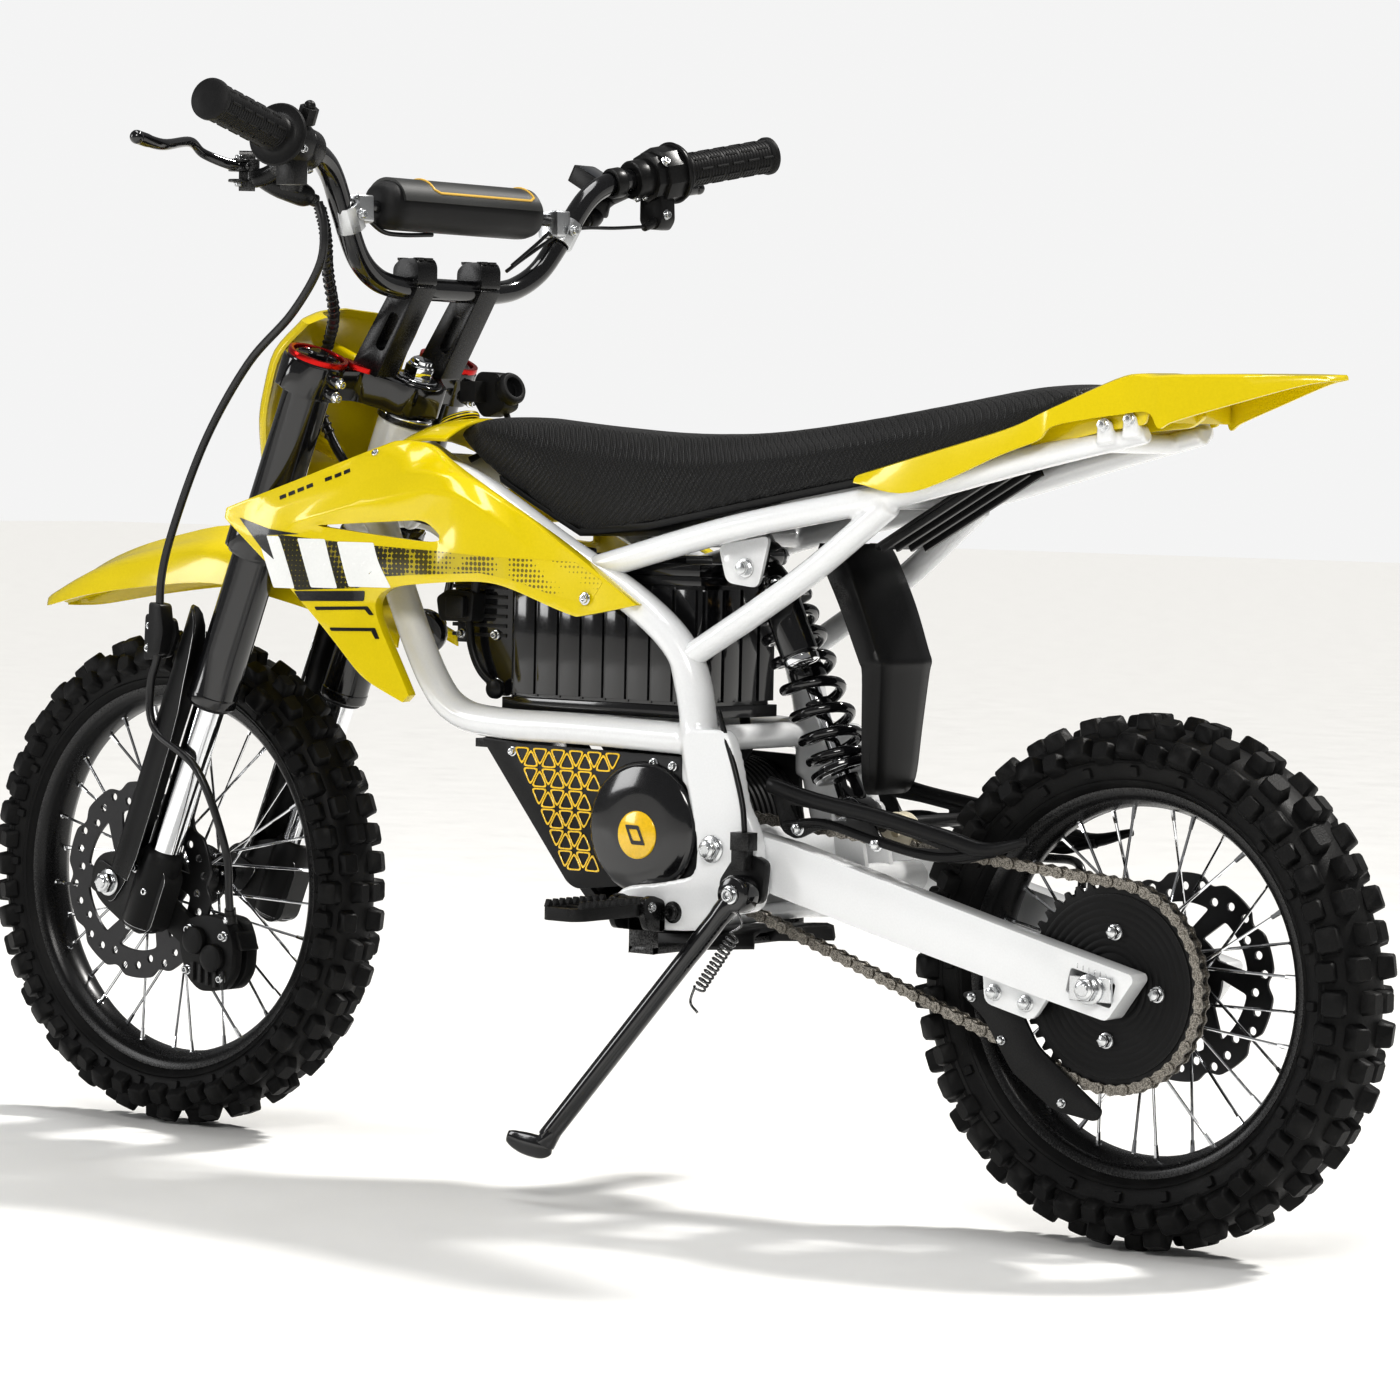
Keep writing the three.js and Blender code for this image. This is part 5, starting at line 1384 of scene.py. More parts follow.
def add_shell(shape, points, faces, thick, lip):
    """A closed shell under an open skin: its rim turns inwards by a lip, like a moulded panel's edge."""
    counts = {}
    for f in faces:
        for i, a in enumerate(f):
            key = frozenset((a, f[(i + 1) % len(f)]))
            counts.setdefault(key, []).append((a, f[(i + 1) % len(f)]))
    rim_edges = [pair[0] for pair in counts.values() if len(pair) == 1]
    inward = {}
    for a, b in rim_edges:
        run = Vector((points[b].x - points[a].x, 0, points[b].z - points[a].z)).normalized()
        normal = Vector((run.z, 0, -run.x))
        for i in (a, b):
            inward[i] = inward.get(i, Vector()) + normal
    centre_of = {}
    for f in faces:
        middle = sum((points[i] for i in f), Vector()) / len(f)
        for i in f:
            centre_of.setdefault(i, []).append(middle)
    count = len(points)
    back = [p - Y * thick for p in points]
    every = list(points) + back
    made = [tuple(f) for f in faces]
    inner_lip, deep_lip = {}, {}
    for i, n in inward.items():
        n = n.normalized()
        middle = sum(centre_of[i], Vector()) / len(centre_of[i])
        if (middle - points[i]).dot(n) < 0:
            n = -n
        deep_lip[i] = len(every)
        every.append(points[i] - Y * lip + n * 0.4)
        inner_lip[i] = len(every)
        every.append(points[i] - Y * lip + n * (thick + 0.2))
        every[count + i] = points[i] - Y * (thick + 0.6) + n * thick
    made += [tuple(count + i for i in reversed(f)) for f in faces]
    for a, b in rim_edges:
        made.append((a, b, deep_lip[b], deep_lip[a]))
        made.append((deep_lip[a], deep_lip[b], inner_lip[b], inner_lip[a]))
        made.append((inner_lip[a], inner_lip[b], count + b, count + a))
    shape.put(every, made)


def drape(rim_points, tree, lift, thick=0.5, grid=7.0):
    """A thin printed patch laid on a skin, from its outline in X and Z."""
    dense = []
    for i, p in enumerate(rim_points):
        q = rim_points[(i + 1) % len(rim_points)]
        cuts = max(1, int(math.dist(p, q) / grid))
        dense += [(p[0] + (q[0] - p[0]) * k / cuts, p[1] + (q[1] - p[1]) * k / cuts) for k in range(cuts)]
    xs, zs = [p[0] for p in dense], [p[1] for p in dense]
    fill = []
    x = min(xs) + grid / 2
    while x < max(xs):
        z = min(zs) + grid / 2
        while z < max(zs):
            if inside((x, z), dense) and min(math.dist((x, z), p) for p in dense) > grid * 0.45:
                fill.append((x, z))
            z += grid
        x += grid
    flat = [Vector(p) for p in dense + fill]
    edges = [(i, (i + 1) % len(dense)) for i in range(len(dense))]
    spots, _, faces, _, _, _ = delaunay_2d_cdt(flat, edges, [], 1, 1e-4)
    heights = []
    for p in spots:
        hit = tree.ray_cast(Vector((p.x, 400, p.y)), -Y)[0] or tree.find_nearest(Vector((p.x, 130, p.y)))[0]
        heights.append(hit.y)
    count = len(spots)
    top = [Vector((p.x, h + lift, p.y)) for p, h in zip(spots, heights)]
    low = [Vector((p.x, h + lift - thick, p.y)) for p, h in zip(spots, heights)]
    made = [tuple(f) for f in faces] + [tuple(count + i for i in reversed(f)) for f in faces]
    used = {}
    for f in faces:
        for i, a in enumerate(f):
            b = f[(i + 1) % len(f)]
            used.setdefault(frozenset((a, b)), []).append((a, b))
    made += [(pair[0][0], pair[0][1], count + pair[0][1], count + pair[0][0]) for pair in used.values()
             if len(pair) == 1]
    return top + low, made


BLOCK_SLANT = 0.42


def slanted(x, z, long, tall):
    """A printed block whose lower edge is set back."""
    back = tall * BLOCK_SLANT
    return [(x, z), (x - long, z), (x - long - back, z - tall), (x - back, z - tall)]


def add_graphics(name, side, points, faces):
    """Generic printed graphics: a band of small cells, slanted blocks and short bars."""
    tree = BVHTree.FromPolygons(points, faces)
    band = Shape()
    band.put(*drape(rounded([(890, 598), (840, 594), (781, 590), (718, 587), (653, 583), (560, 581), (526, 564),
                             (540, 543), (585, 551),
                             (626, 562), (665, 568), (740, 564), (780, 561), (796, 550), (868, 546)], 3), tree, 0.35))
    black = Shape()
    for outline in (
        rounded([(938, 613), (900, 603), (866, 599), (903, 597), (893, 574), (908, 584)], 1.5),
        rounded([(868, 545), (791, 547.5), (792, 538), (860, 536)], 1.5),
        rounded([(843, 531), (789, 533), (783, 525), (787, 525), (791, 530), (841, 528)], 0.8),
        rounded([(825, 512), (780, 513), (774, 503), (778, 503), (783, 510), (823, 509)], 0.8),
    ):
        black.put(*drape(outline, tree, 0.7, grid=5.0))
    for k in range(8):
        x, z = 893 - k * 9.3, 631 + k * 3.6
        if k != 4:
            black.put(*drape([(x, z), (x - 6.4, z + 2.5), (x - 4.4, z + 5.8), (x + 1.8, z + 3.3)], tree, 0.5,
                             grid=4.0))
    blocks = Shape()
    for outline in (slanted(914, 596.5, 26, 49), slanted(868, 595, 30, 46), slanted(824, 593, 40, 42)):
        blocks.put(*drape(rounded(outline, 2), tree, 0.6, grid=5.0))
    for key, shape, finish in (("band", band, "dots"), ("marks", black, "print_black"),
                               ("blocks", blocks, "print_white")):
        if side < 0:
            shape.flipped()
        piece("print_" + key + "_" + name, shape, finish, "frame")


def add_tank_cover():
    rings = []
    for x, half, high in curve([(824, 82, 693), (812, 80, 701), (796, 77, 708), (776, 74, 712), (752, 68, 712)], 3):
        outer = [Vector((x, half * t, high - 20 * abs(t) ** 2.2))
                 for t in (-1, -0.9, -0.75, -0.55, -0.3, 0, 0.3, 0.55, 0.75, 0.9, 1)]
        rings.append(outer + [p - Z * 3.2 for p in reversed(outer)])
    shape = Shape().skin(rings)
    shape.look = 1
    shape.lathe([(0, 0), (19, 0), (20, 3), (19, 6), (14, 8), (0, 8)], (792, 0, 707), (0.35, 0, 0.94), 40)
    piece("tank_cover_moulded", shape, "yellow plastic", "frame", "tank_cover", bevel=0.8)


# --------------------------------------------------------------------------- tail


def add_tail():
    sections = curve([(264, 88, 0), (200, 90, 0), (110, 86, 0), (74, 83, 0), (58, 81, 0), (0, 70, 0),
                      (-24, 63, 0), (-33, 60, 0), (-46, 56, 0), (-90, 42, 0), (-150, 20, 0),
                      (-180, 3.5, 0)], 6)
    lows = curve([(264, 659, 667), (200, 652, 684), (110, 686, 709), (74, 699, 724), (58, 712, 731),
                  (0, 722, 755.5), (-24, 724, 756), (-33, 711, 756.5),
                  (-46, 717, 757), (-90, 731, 757.5), (-150, 749, 757.5), (-180, 754, 757)], 6)
    rings = []
    for s, l in zip(sections, lows):
        x, half, low, high = s.x, s.y, l.y, l.z
        outer = [(-1, low), (-0.985, (low + high) / 2), (-0.955, high - 2.2), (-0.9, high - 0.4),
                 (-0.6, high + 0.6), (0, high + 1.5),
                 (0.6, high + 0.6), (0.9, high - 0.4), (0.955, high - 2.2), (0.985, (low + high) / 2), (1, low)]
        top = [Vector((x, half * t, z)) for t, z in outer]
        thick = min(3.0, half * 0.4)
        inner = [Vector((x, math.copysign(max(abs(p.y) - thick, 0), p.y),
                         max(low - 0.01, p.z - (2.6 if 0 < i < 10 else 0))))
                 for i, p in enumerate(top)]
        rings.append(top + list(reversed(inner)))
    made = piece("rear_fender_moulded", Shape().skin(rings), "yellow", None, sharp=30)
    room = piece("seat_room", Shape().skin(seat_sections(3.0, 80)), "plastic", None)
    cut(made, room)
    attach(made, "frame")
    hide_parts("rear_fender")
    brace = Shape()
    brace.plate(rounded([(52, 704), (-30, 712), (-44, 722), (-30, 736), (20, 730), (60, 716)], 5), -3, 3)
    brace.box((-36, -52, 716), (-32, 52, 740))
    for y0, y1 in ((57, 60), (-60, -57)):
        brace.plate(rounded([(96, 690), (60, 699), (20, 708), (-20, 714), (-26, 738), (60, 726), (96, 706)], 4),
                    y0, y1)
    piece("fender_brace", brace, "yellow", "frame", bevel=1.0)
    slope = Vector((-122, 0, 69)).normalized()
    place = Matrix((Y, slope, Y.cross(slope))).transposed().to_4x4()
    place.translation = (274, 0, 603)
    rim_points = rounded([(-36, -4), (36, -4), (38, 60), (36, 150), (-36, 150), (-38, 60)], 6)
    slots = [rounded([(y - 4.5, 20), (y + 4.5, 20), (y + 4.5, 128), (y - 4.5, 128)], 4.4) for y in (-22, 0, 22)]
    inner = Shape().plate(rim_points, -1.5, 1.8, slots, place)
    for y in (-33.5, -11, 11, 33.5):
        inner.plate(rounded([(y - 2.6, 2), (y + 2.6, 2), (y + 2.2, 146), (y - 2.2, 146)], 2), -7, 1, (), place)
    piece("inner_fender_slotted", inner, "plastic", "frame", "inner_fender", bevel=0.8)
    add_flap()


def cut(made, tool):
    """Takes one closed mesh out of another, and removes the tool."""
    change = made.modifiers.new("cut", "BOOLEAN")
    change.operation = "DIFFERENCE"
    change.object = tool
    change.solver = "EXACT"
    settle(made)
    bpy.data.objects.remove(tool)
    made.data.shade_smooth()
    made.data.set_sharp_from_angle(angle=math.radians(38))


def add_flap():
    rows = curve([(604, 312, 40), (592, 304, 44), (550, 283, 45), (510, 267, 44), (499, 263, 44),
                  (488, 264, 42), (440, 268, 38), (400, 271, 35),
                  (386, 274, 31), (380, 278, 26)], 4)
    lips = curve([(604, 22, 0), (592, 27, 0), (550, 25, 0), (510, 23, 0), (499, 22, 0), (488, 19, 0),
                  (440, 17, 0), (400, 15, 0), (386, 12, 0), (380, 8, 0)], 4)
    rings = []
    for r, lip in zip(rows, lips):
        z, x, half = r
        deep = lip.y
        outer = [(deep, 1.0), (deep * 0.45, 0.995), (7, 0.985), (2.2, 0.95), (0.2, 0.88), (-1.2, 0.5), (-1.8, 0.0)]
        path = [Vector((x + d, half * t, z)) for d, t in outer] + [Vector((x + d, -half * t, z)) for d,
            t in reversed(outer[:-1])]
        inner = []
        for p in reversed(path):
            edge = abs(p.y) > half * 0.9
            inner.append(Vector((p.x + (0.0 if abs(p.y) > half * 0.99 else 2.8),
                                 p.y - math.copysign(2.8 if edge else 0.6, p.y), z)))
        rings.append(path + inner)
    shape = Shape().skin(rings)
    piece("mud_flap_moulded", shape, "plastic", "frame", "mud_flap", bevel=0.9, sharp=40)


# -------------------------------------------------------------------- pegs, stand


PEG_PIVOT = (470, 128, 276)


def peg_shape():
    x, y, z = PEG_PIVOT
    shape = Shape()
    shape.rod((x - 14, y, z - 3), (x + 14, y, z - 3), 9, 24)
    shape.box((x - 14, y - 6, z - 11), (x + 14, y + 14, z + 4))
    outer = [(x - 16, y + 8), (x + 16, y + 8), (x + 22, y + 26), (x + 22, y + 98), (x + 15, y + 108),
             (x - 15, y + 108), (x - 22, y + 98), (x - 22, y + 26)]
    holes = [rounded([(x - 15, y + a), (x + 15, y + a), (x + 15, y + b), (x - 15, y + b)], 4) for a,
             b in ((28, 48), (54, 74), (80, 98))]
    shape.plate(rounded(outer, 5), z - 10, z + 1.5, holes, Matrix.Identity(4))
    for k in range(9):
        a = y + 20 + k * 9.6
        for side in (-1, 1):
            low = x + side * 21.5
            tooth = [(a - 4, z + 1), (a + 4, z + 1), (a + 1.2, z + 7.5), (a - 1.2, z + 7.5)]
            shape.plate(tooth, min(low, low - side * 5), max(low, low - side * 5), (), FLAT_X)
    return shape


def add_pegs():
    piece("footpeg_left_toothed", peg_shape(), "cast", "footpeg_left", "footpeg_left", bevel=0.7)
    piece("footpeg_right_toothed", peg_shape().flipped(), "cast", "footpeg_right",
          "footpeg_right", bevel=0.7)
    x, y, z = PEG_PIVOT
    shape = Shape()
    for side in (-1, 1):
        a, b = x + side * 15, x + side * 21
        rim_points = rounded([(107.5, z - 26), (y + 4, z - 24), (y + 10, z - 12), (y + 10, z + 4),
                              (y - 2, z + 8), (107.5, z + 2)], 5)
        shape.plate(rim_points, min(a, b), max(a, b), (), FLAT_X)
    shape.box((x - 21, 107.5, z - 26), (x + 21, y - 13, z - 15))
    shape.box((x - 14, 107.5, z - 47), (x + 14, 115, z - 14))
    shape.mirror()
    shape.box((x - 14, -115, z - 47), (x + 14, 115, z - 41))
    shape.look = 1
    for side in (-1, 1):
        shape.rod((x - 24, side * y, z - 3), (x + 24, side * y, z - 3), 4, 16)
        shape.bolt((x + 21, side * y, z - 3), X, 6, 4)
        shape.bolt((x - 21, side * y, z - 3), -X, 5, 3, "cap")
    piece("peg_bracket_pressed", shape, "metal steel", "frame", "peg_bracket", bevel=0.8)


def add_stand():
    hub, foot = Vector((357, 122, 291)), Vector((531, 176, 56))
    leg = (foot - hub).normalized()
    shape = Shape()
    shape.lathe([(0, -13), (14, -13), (17, -10), (17.5, 4), (15, 9), (9, 10), (0, 10)], hub, Y, 40)
    line = [hub + leg * 8, hub + leg * 40, hub + leg * 120, hub + leg * 240, hub + leg * 290]
    shape.sweep(curve(line, 4), [10.5] * 3 + [9.6] * 3 + [9] * 11, 20)
    pad = [foot + Vector((40, 1, 3)), foot + Vector((26, 0, -1)), foot + Vector((12, 0, -3)),
           foot + Vector((0, 0, -4)), foot + Vector((-10, 0, -4))]
    shape.sweep(curve(pad, 4), [4.5, 6, 7, 7.6, 8.2, 8.6, 8.8, 9, 9, 9, 9, 8.8, 8.4, 7.8, 7, 6, 4.5],
                section=oval(1.2, 0.42))
    shape.sweep([foot - leg * 16, foot + Vector((-3, 0, -1))], 9, 18)
    shape.look = 1
    shape.bolt(hub + Y * 10, Y, 9, 5, "cap")
    side = leg.cross(Y).normalized()
    top, low = Vector((349, 128, 262)), Vector((392, 138, 196))
    along = (low - top).normalized()
    sideways = along.cross(Y).normalized()
    other = along.cross(sideways)
    span = (low - top).length
    coil = []
    turns = 13
    for i in range(turns * 12 + 1):
        a = 2 * math.pi * i / 12
        coil.append(top + along * (10 + (span - 20) * i / (turns * 12))
                    + (sideways * math.cos(a) + other * math.sin(a)) * 5)
    shape.sweep(coil, 1.25, 8)
    shape.sweep(curve([hub + Vector((-6, 8, -14)), top - along * 4, top + along * 10 + sideways * 5], 5), 1.3, 8)
    shape.sweep(curve([low - along * 10 + sideways * 5, low + along * 4, low - side * 12 + along * 6], 5), 1.3, 8)
    piece("side_stand_leg", shape, "gloss steel", "side_stand", "side_stand", bevel=0.7)
    bracket = Shape()
    bracket.plate(rounded([(336, 320), (352, 326), (372, 322), (388, 300), (384, 282), (366, 276), (340, 284)],
                          6), 100, 108.5)
    bracket.box((352, 106, 312), (366, 120, 334))
    bracket.box((346, 108, 330), (366, 122, 346))
    bracket.sweep(curve([(356, 114, 346), (362, 110, 370), (374, 106, 400), (388, 103, 430), (400, 98, 452)],
                        6), 2.6, 12)
    piece("stand_bracket_switch", bracket, "plastic", "frame", bevel=1.2)


# -------------------------------------------------------------------------- forks


def along_fork(y=0.0, ahead=FORK_AHEAD):
    return steer(ahead, y, 0), STEER.to_3x3() @ Z


def clamp_shape(low, high):
    half = [(-22, 24), (-6, 34), (20, 56), (20, 86), (18, 96), (20, 112), (30, 124), (52, 128), (68, 122),
            (76, 108), (76, 84),
            (66, 62), (40, 34), (22, 20)]
    outline = [(x, -y) for x, y in reversed(half)] + half
    shape = Shape()
    bores = [ring_of(23.4, 40, (FORK_AHEAD, side * FORK_HALF)) for side in (-1, 1)]
    shape.plate(rounded(outline, 7), low, high, bores, STEER)
    for side in (-1, 1):
        for up in (low + 8, high - 8):
            shape.rod(steer(8, side * 100, up), steer(22, side * 100, up), 5.6, 16)
    return shape


def add_pinch_bolts(shape, heights):
    for side in (-1, 1):
        for up in heights:
            shape.bolt(steer(8, side * 100, up), STEER.to_3x3() @ -X, 6, 5, "cap")


def add_clamps():
    shape = clamp_shape(-58, -28)
    shape.lathe([(10, -29), (25, -29), (26, -27), (25, -25.5), (10, -25.5)], *along_fork(0, 0), 40)
    for side in (-1, 1):
        shape.lathe([(24, -60), (28.5, -60), (29, -57), (29, -29), (28.5, -26), (24, -26)],
                    *along_fork(side * FORK_HALF), 48)
    shape.look = 1
    top, axis = along_fork(0, 0)
    shape.lathe([(0, -25.6), (19, -25.6), (20, -24.4), (19, -23), (0, -23)], top, axis, 40)
    shape.plate(hexagon(15.5), -23.2, -12, [], STEER)
    shape.lathe([(0, -12.4), (13, -12.4), (12.4, -10), (10, -9.4), (10, -6), (9, -5), (0, -5)], top, axis, 32)
    add_pinch_bolts(shape, (-50, -36))
    piece("top_clamp_machined", shape, "gloss chrome", "steering", "top_clamp", bevel=1.6, segments=2)
    shape = clamp_shape(-226, -198)
    for side in (-1, 1):
        shape.lathe([(24, -230), (28.5, -230), (29, -227), (29, -197), (28.5, -194), (24, -194)],
                    *along_fork(side * FORK_HALF), 48)
    shape.rod(steer(0, 0, -226), steer(0, 0, -44), 14, 28)
    shape.look = 1
    add_pinch_bolts(shape, (-218, -206))
    piece("bottom_clamp_machined", shape, "gloss steel", "steering", "bottom_clamp", bevel=1.6)
    rings = Shape()
    for low in (-66.5, -193):
        rings.lathe([(14.5, low), (25.5, low), (26.5, low + 1.5), (26.5, low + 5), (25, low + 6.5),
                     (14.5, low + 6.5)], *along_fork(0, 0), 48)
    piece("head_bearing_rings", rings, "chrome", "steering", bevel=0.3, segments=1)
    for side, name in ((1, "left"), (-1, "right")):
        shape = Shape()
        start, axis = along_fork(side * FORK_HALF)
        shape.lathe([
            (16.6, -386), (23.6, -386), (24.6, -384.5), (24.6, -376), (24, -375), (23.6, -330), (23.2, -230),
            (23.2, -60), (24, -56), (24.4, -30), (24.4, -26), (22.5, -22.6), (20, -22.2), (19, -24.5),
            (0, -24.5), (0, -100),
            (16.6, -100),
        ], start, axis, 56)
        shape.plate(hexagon(10.5, (FORK_AHEAD, side * FORK_HALF)), -24.6, -18, [], STEER)
        shape.look = 1
        shape.lathe([(17.2, -390), (19.5, -390), (20.5, -388), (20.5, -386), (17.2, -386)], start, axis, 48)
        piece("fork_tube_anodised_" + name, shape, "gloss rubber", "steering",
              "fork_tube_" + name, bevel=0.4, segments=1, sharp=28)
    stay = Shape()
    for side in (-1, 1):
        ring_out = ring_of(29.5, 48, (FORK_AHEAD, side * FORK_HALF))
        tongue = [(FORK_AHEAD - 24, side * (FORK_HALF - 22)), (FORK_AHEAD - 40, side * (FORK_HALF - 34)),
                  (FORK_AHEAD - 34, side * (FORK_HALF - 44)),
                  (FORK_AHEAD - 6, side * (FORK_HALF - 30))]
        stay.plate(ring_out, -25.8, -20.6, [ring_of(24.9, 48, (FORK_AHEAD, side * FORK_HALF))], STEER)
        stay.plate(rounded(tongue, 4), -25.8, -20.6, [], STEER)
    piece("fork_top_rings", stay, "red", "steering", bevel=0.8)


def guard_rings():
    rings = []
    for up, front, back in ((-303, 18, 50), (-306, 0, 62), (-312, -16, 72), (-324, -30, 80), (-345, -42, 86),
                            (-375, -50, 92), (-400, -50, 98),
                            (-440, -50, 102), (-500, -50, 104), (-556, -50, 104), (-582, -46, 100)):
        ring = []
        for thick in (0.0, 2.6):
            arc = []
            for k in range(17):
                a = math.radians(front + (back - front) * k / 16)
                arc.append(steer(63 + (35 - thick) * math.cos(a), FORK_HALF + 1 + (28 - thick) * math.sin(a), up))
            ring += arc if not thick else list(reversed(arc))
        rings.append(ring)
    return rings


def add_lowers():
    for side, name in ((1, "left"), (-1, "right")):
        start, axis = along_fork(FORK_HALF)
        shape = Shape()
        shape.lathe([(0, -604), (15.5, -604), (15.5, -332), (14, -330), (0, -330)], start, axis, 56)
        shape.look = 1
        shape.lathe([(0, -628), (17, -628), (20.5, -624), (21, -560), (20, -548), (17.5, -544), (15.3, -543),
                     (0, -543)], start, axis, 48)
        foot = [(24, -566), (40, -552), (64, -550), (92, -566), (112, -578), (119, -592), (116, -608),
                (104, -620), (90, -625), (62, -630),
                (36, -632), (24, -622)]
        place = STEER @ FLAT_Y
        shape.plate(rounded(foot, 7), 82, 108, [], place)
        shape.plate(rounded([(70, -586), (112, -584), (114, -616), (80, -618)], 7), 78, 110, [], place)
        shape.rod(steer(40, 84, -586), steer(40, 112, -586), 7, 20)
        shape.look = 2
        shape.skin(guard_rings())
        shape.look = 3
        shape.bolt(steer(40, 112, -586), Y, 5, 4, "cap")
        shape.bolt(steer(66, 108, -572), Y, 5.5, 4, "cap")
        shape.bolt(steer(58, 100, -632), STEER.to_3x3() @ -Z, 5, 3, "cap")
        shape.bolt(steer(84.5, 114.6, -384), Y, 3, 2, "cap", False)
        if side < 0:
            shape.flipped()
        piece("fork_lower_slider_" + name, shape, "chrome cast plastic steel", "fork_lower",
              "fork_lower_" + name,
              bevel=0.7, segments=1, sharp=34)
    block = Shape()
    block.plate(rounded([(1092, 516), (1054, 512), (1050, 496), (1060, 474), (1094, 470)], 5), 112, 117)
    block.plate(rounded([(1074, 528), (1059, 526), (1055, 500), (1060, 476), (1076, 476)], 4), 115, 131)
    block.look = 1
    block.bolt((1084, 117, 504), Y, 5.5, 3.4, "cap")
    block.bolt((1086, 117, 482), Y, 5.5, 3.4, "cap")
    piece("hose_clamp_block", block, "plastic steel", "fork_lower", bevel=1.3)


def add_brakes():
    """Each caliper: two halves over the disc, piston caps, bolts and its bracket."""
    shape = Shape()
    body = [(1000, 196), (1010, 218), (1040, 222), (1066, 214), (1072, 190), (1062, 160), (1044, 146),
            (1016, 148), (1002, 166)]
    shape.plate(rounded(body, 9), 69.6, 84)
    shape.plate(rounded(body, 9), 48, 62.4)
    shape.plate(rounded([(1004, 204), (1014, 216), (1040, 219), (1040, 208), (1010, 200)], 4), 56, 76)
    shape.plate(rounded([(1002, 190), (1010, 208), (1000, 206), (992, 188)], 4), 54, 78)
    shape.plate(rounded([(1052, 210), (1104, 246), (1124, 250), (1122, 226), (1098, 206), (1066, 186)], 7), 73, 80)
    for x, z in ((1024, 180), (1048, 196)):
        shape.lathe([(0, 84), (13, 84), (14, 86), (13.4, 91), (9, 92.4), (0, 92.4)], (x, 0, z), Y, 36)
    shape.rod((1006, 79, 214), (1009, 79, 230), 5.5, 14)
    for k in range(5):
        shape.box((1010 + 10 * k, 80, 150 + 1.5 * k), (1014 + 10 * k, 86.5, 168 + 1.5 * k))
    shape.look = 1
    for x, z in ((1060, 166), (1014, 160), (1012, 202), (1058, 206)):
        shape.bolt((x, 84, z), Y, 5.4, 4.4, "cap")
    shape.bolt((1100, 80, 234), Y, 6, 4)
    piece("front_caliper_cast", shape, "cast steel", "fork_lower", "front_caliper", bevel=1.2)
    shape = Shape()
    body = [(64, 252), (66, 296), (92, 303), (118, 296), (124, 270), (114, 248), (84, 243)]
    shape.plate(rounded(body, 8), -52.5, -44)
    shape.plate(rounded(body, 8), -68, -59.5)
    shape.plate(rounded([(100, 300), (118, 292), (124, 268), (116, 262), (112, 288)], 4), -60, -52)
    shape.plate(rounded([(34, 236), (60, 252), (96, 258), (94, 236), (60, 226), (40, 226)], 6), -66, -60)
    for x, z in ((82, 266), (103, 280)):
        shape.lathe([(0, 68), (11, 68), (12, 70), (11, 74), (0, 74.6)], (x, 0, z), -Y, 32)
    shape.look = 1
    for x, z in ((72, 290), (112, 290), (108, 256)):
        shape.bolt((x, -68, z), -Y, 5.2, 4, "cap")
    piece("rear_caliper_cast", shape, "cast steel", "swingarm", "rear_caliper", bevel=1.0)


# --------------------------------------------------------------------- handlebars


GRIP_INNER, GRIP_END = Vector((766, 292, 963)), Vector((738, 415, 987))
LEVER_PIVOT, LEVER_TIP = Vector((846, 258, 938)), Vector((827, 413, 955))


def grip_point(t, side=1):
    p = between(GRIP_INNER, GRIP_END, t)
    return Vector((p.x, side * p.y, p.z))


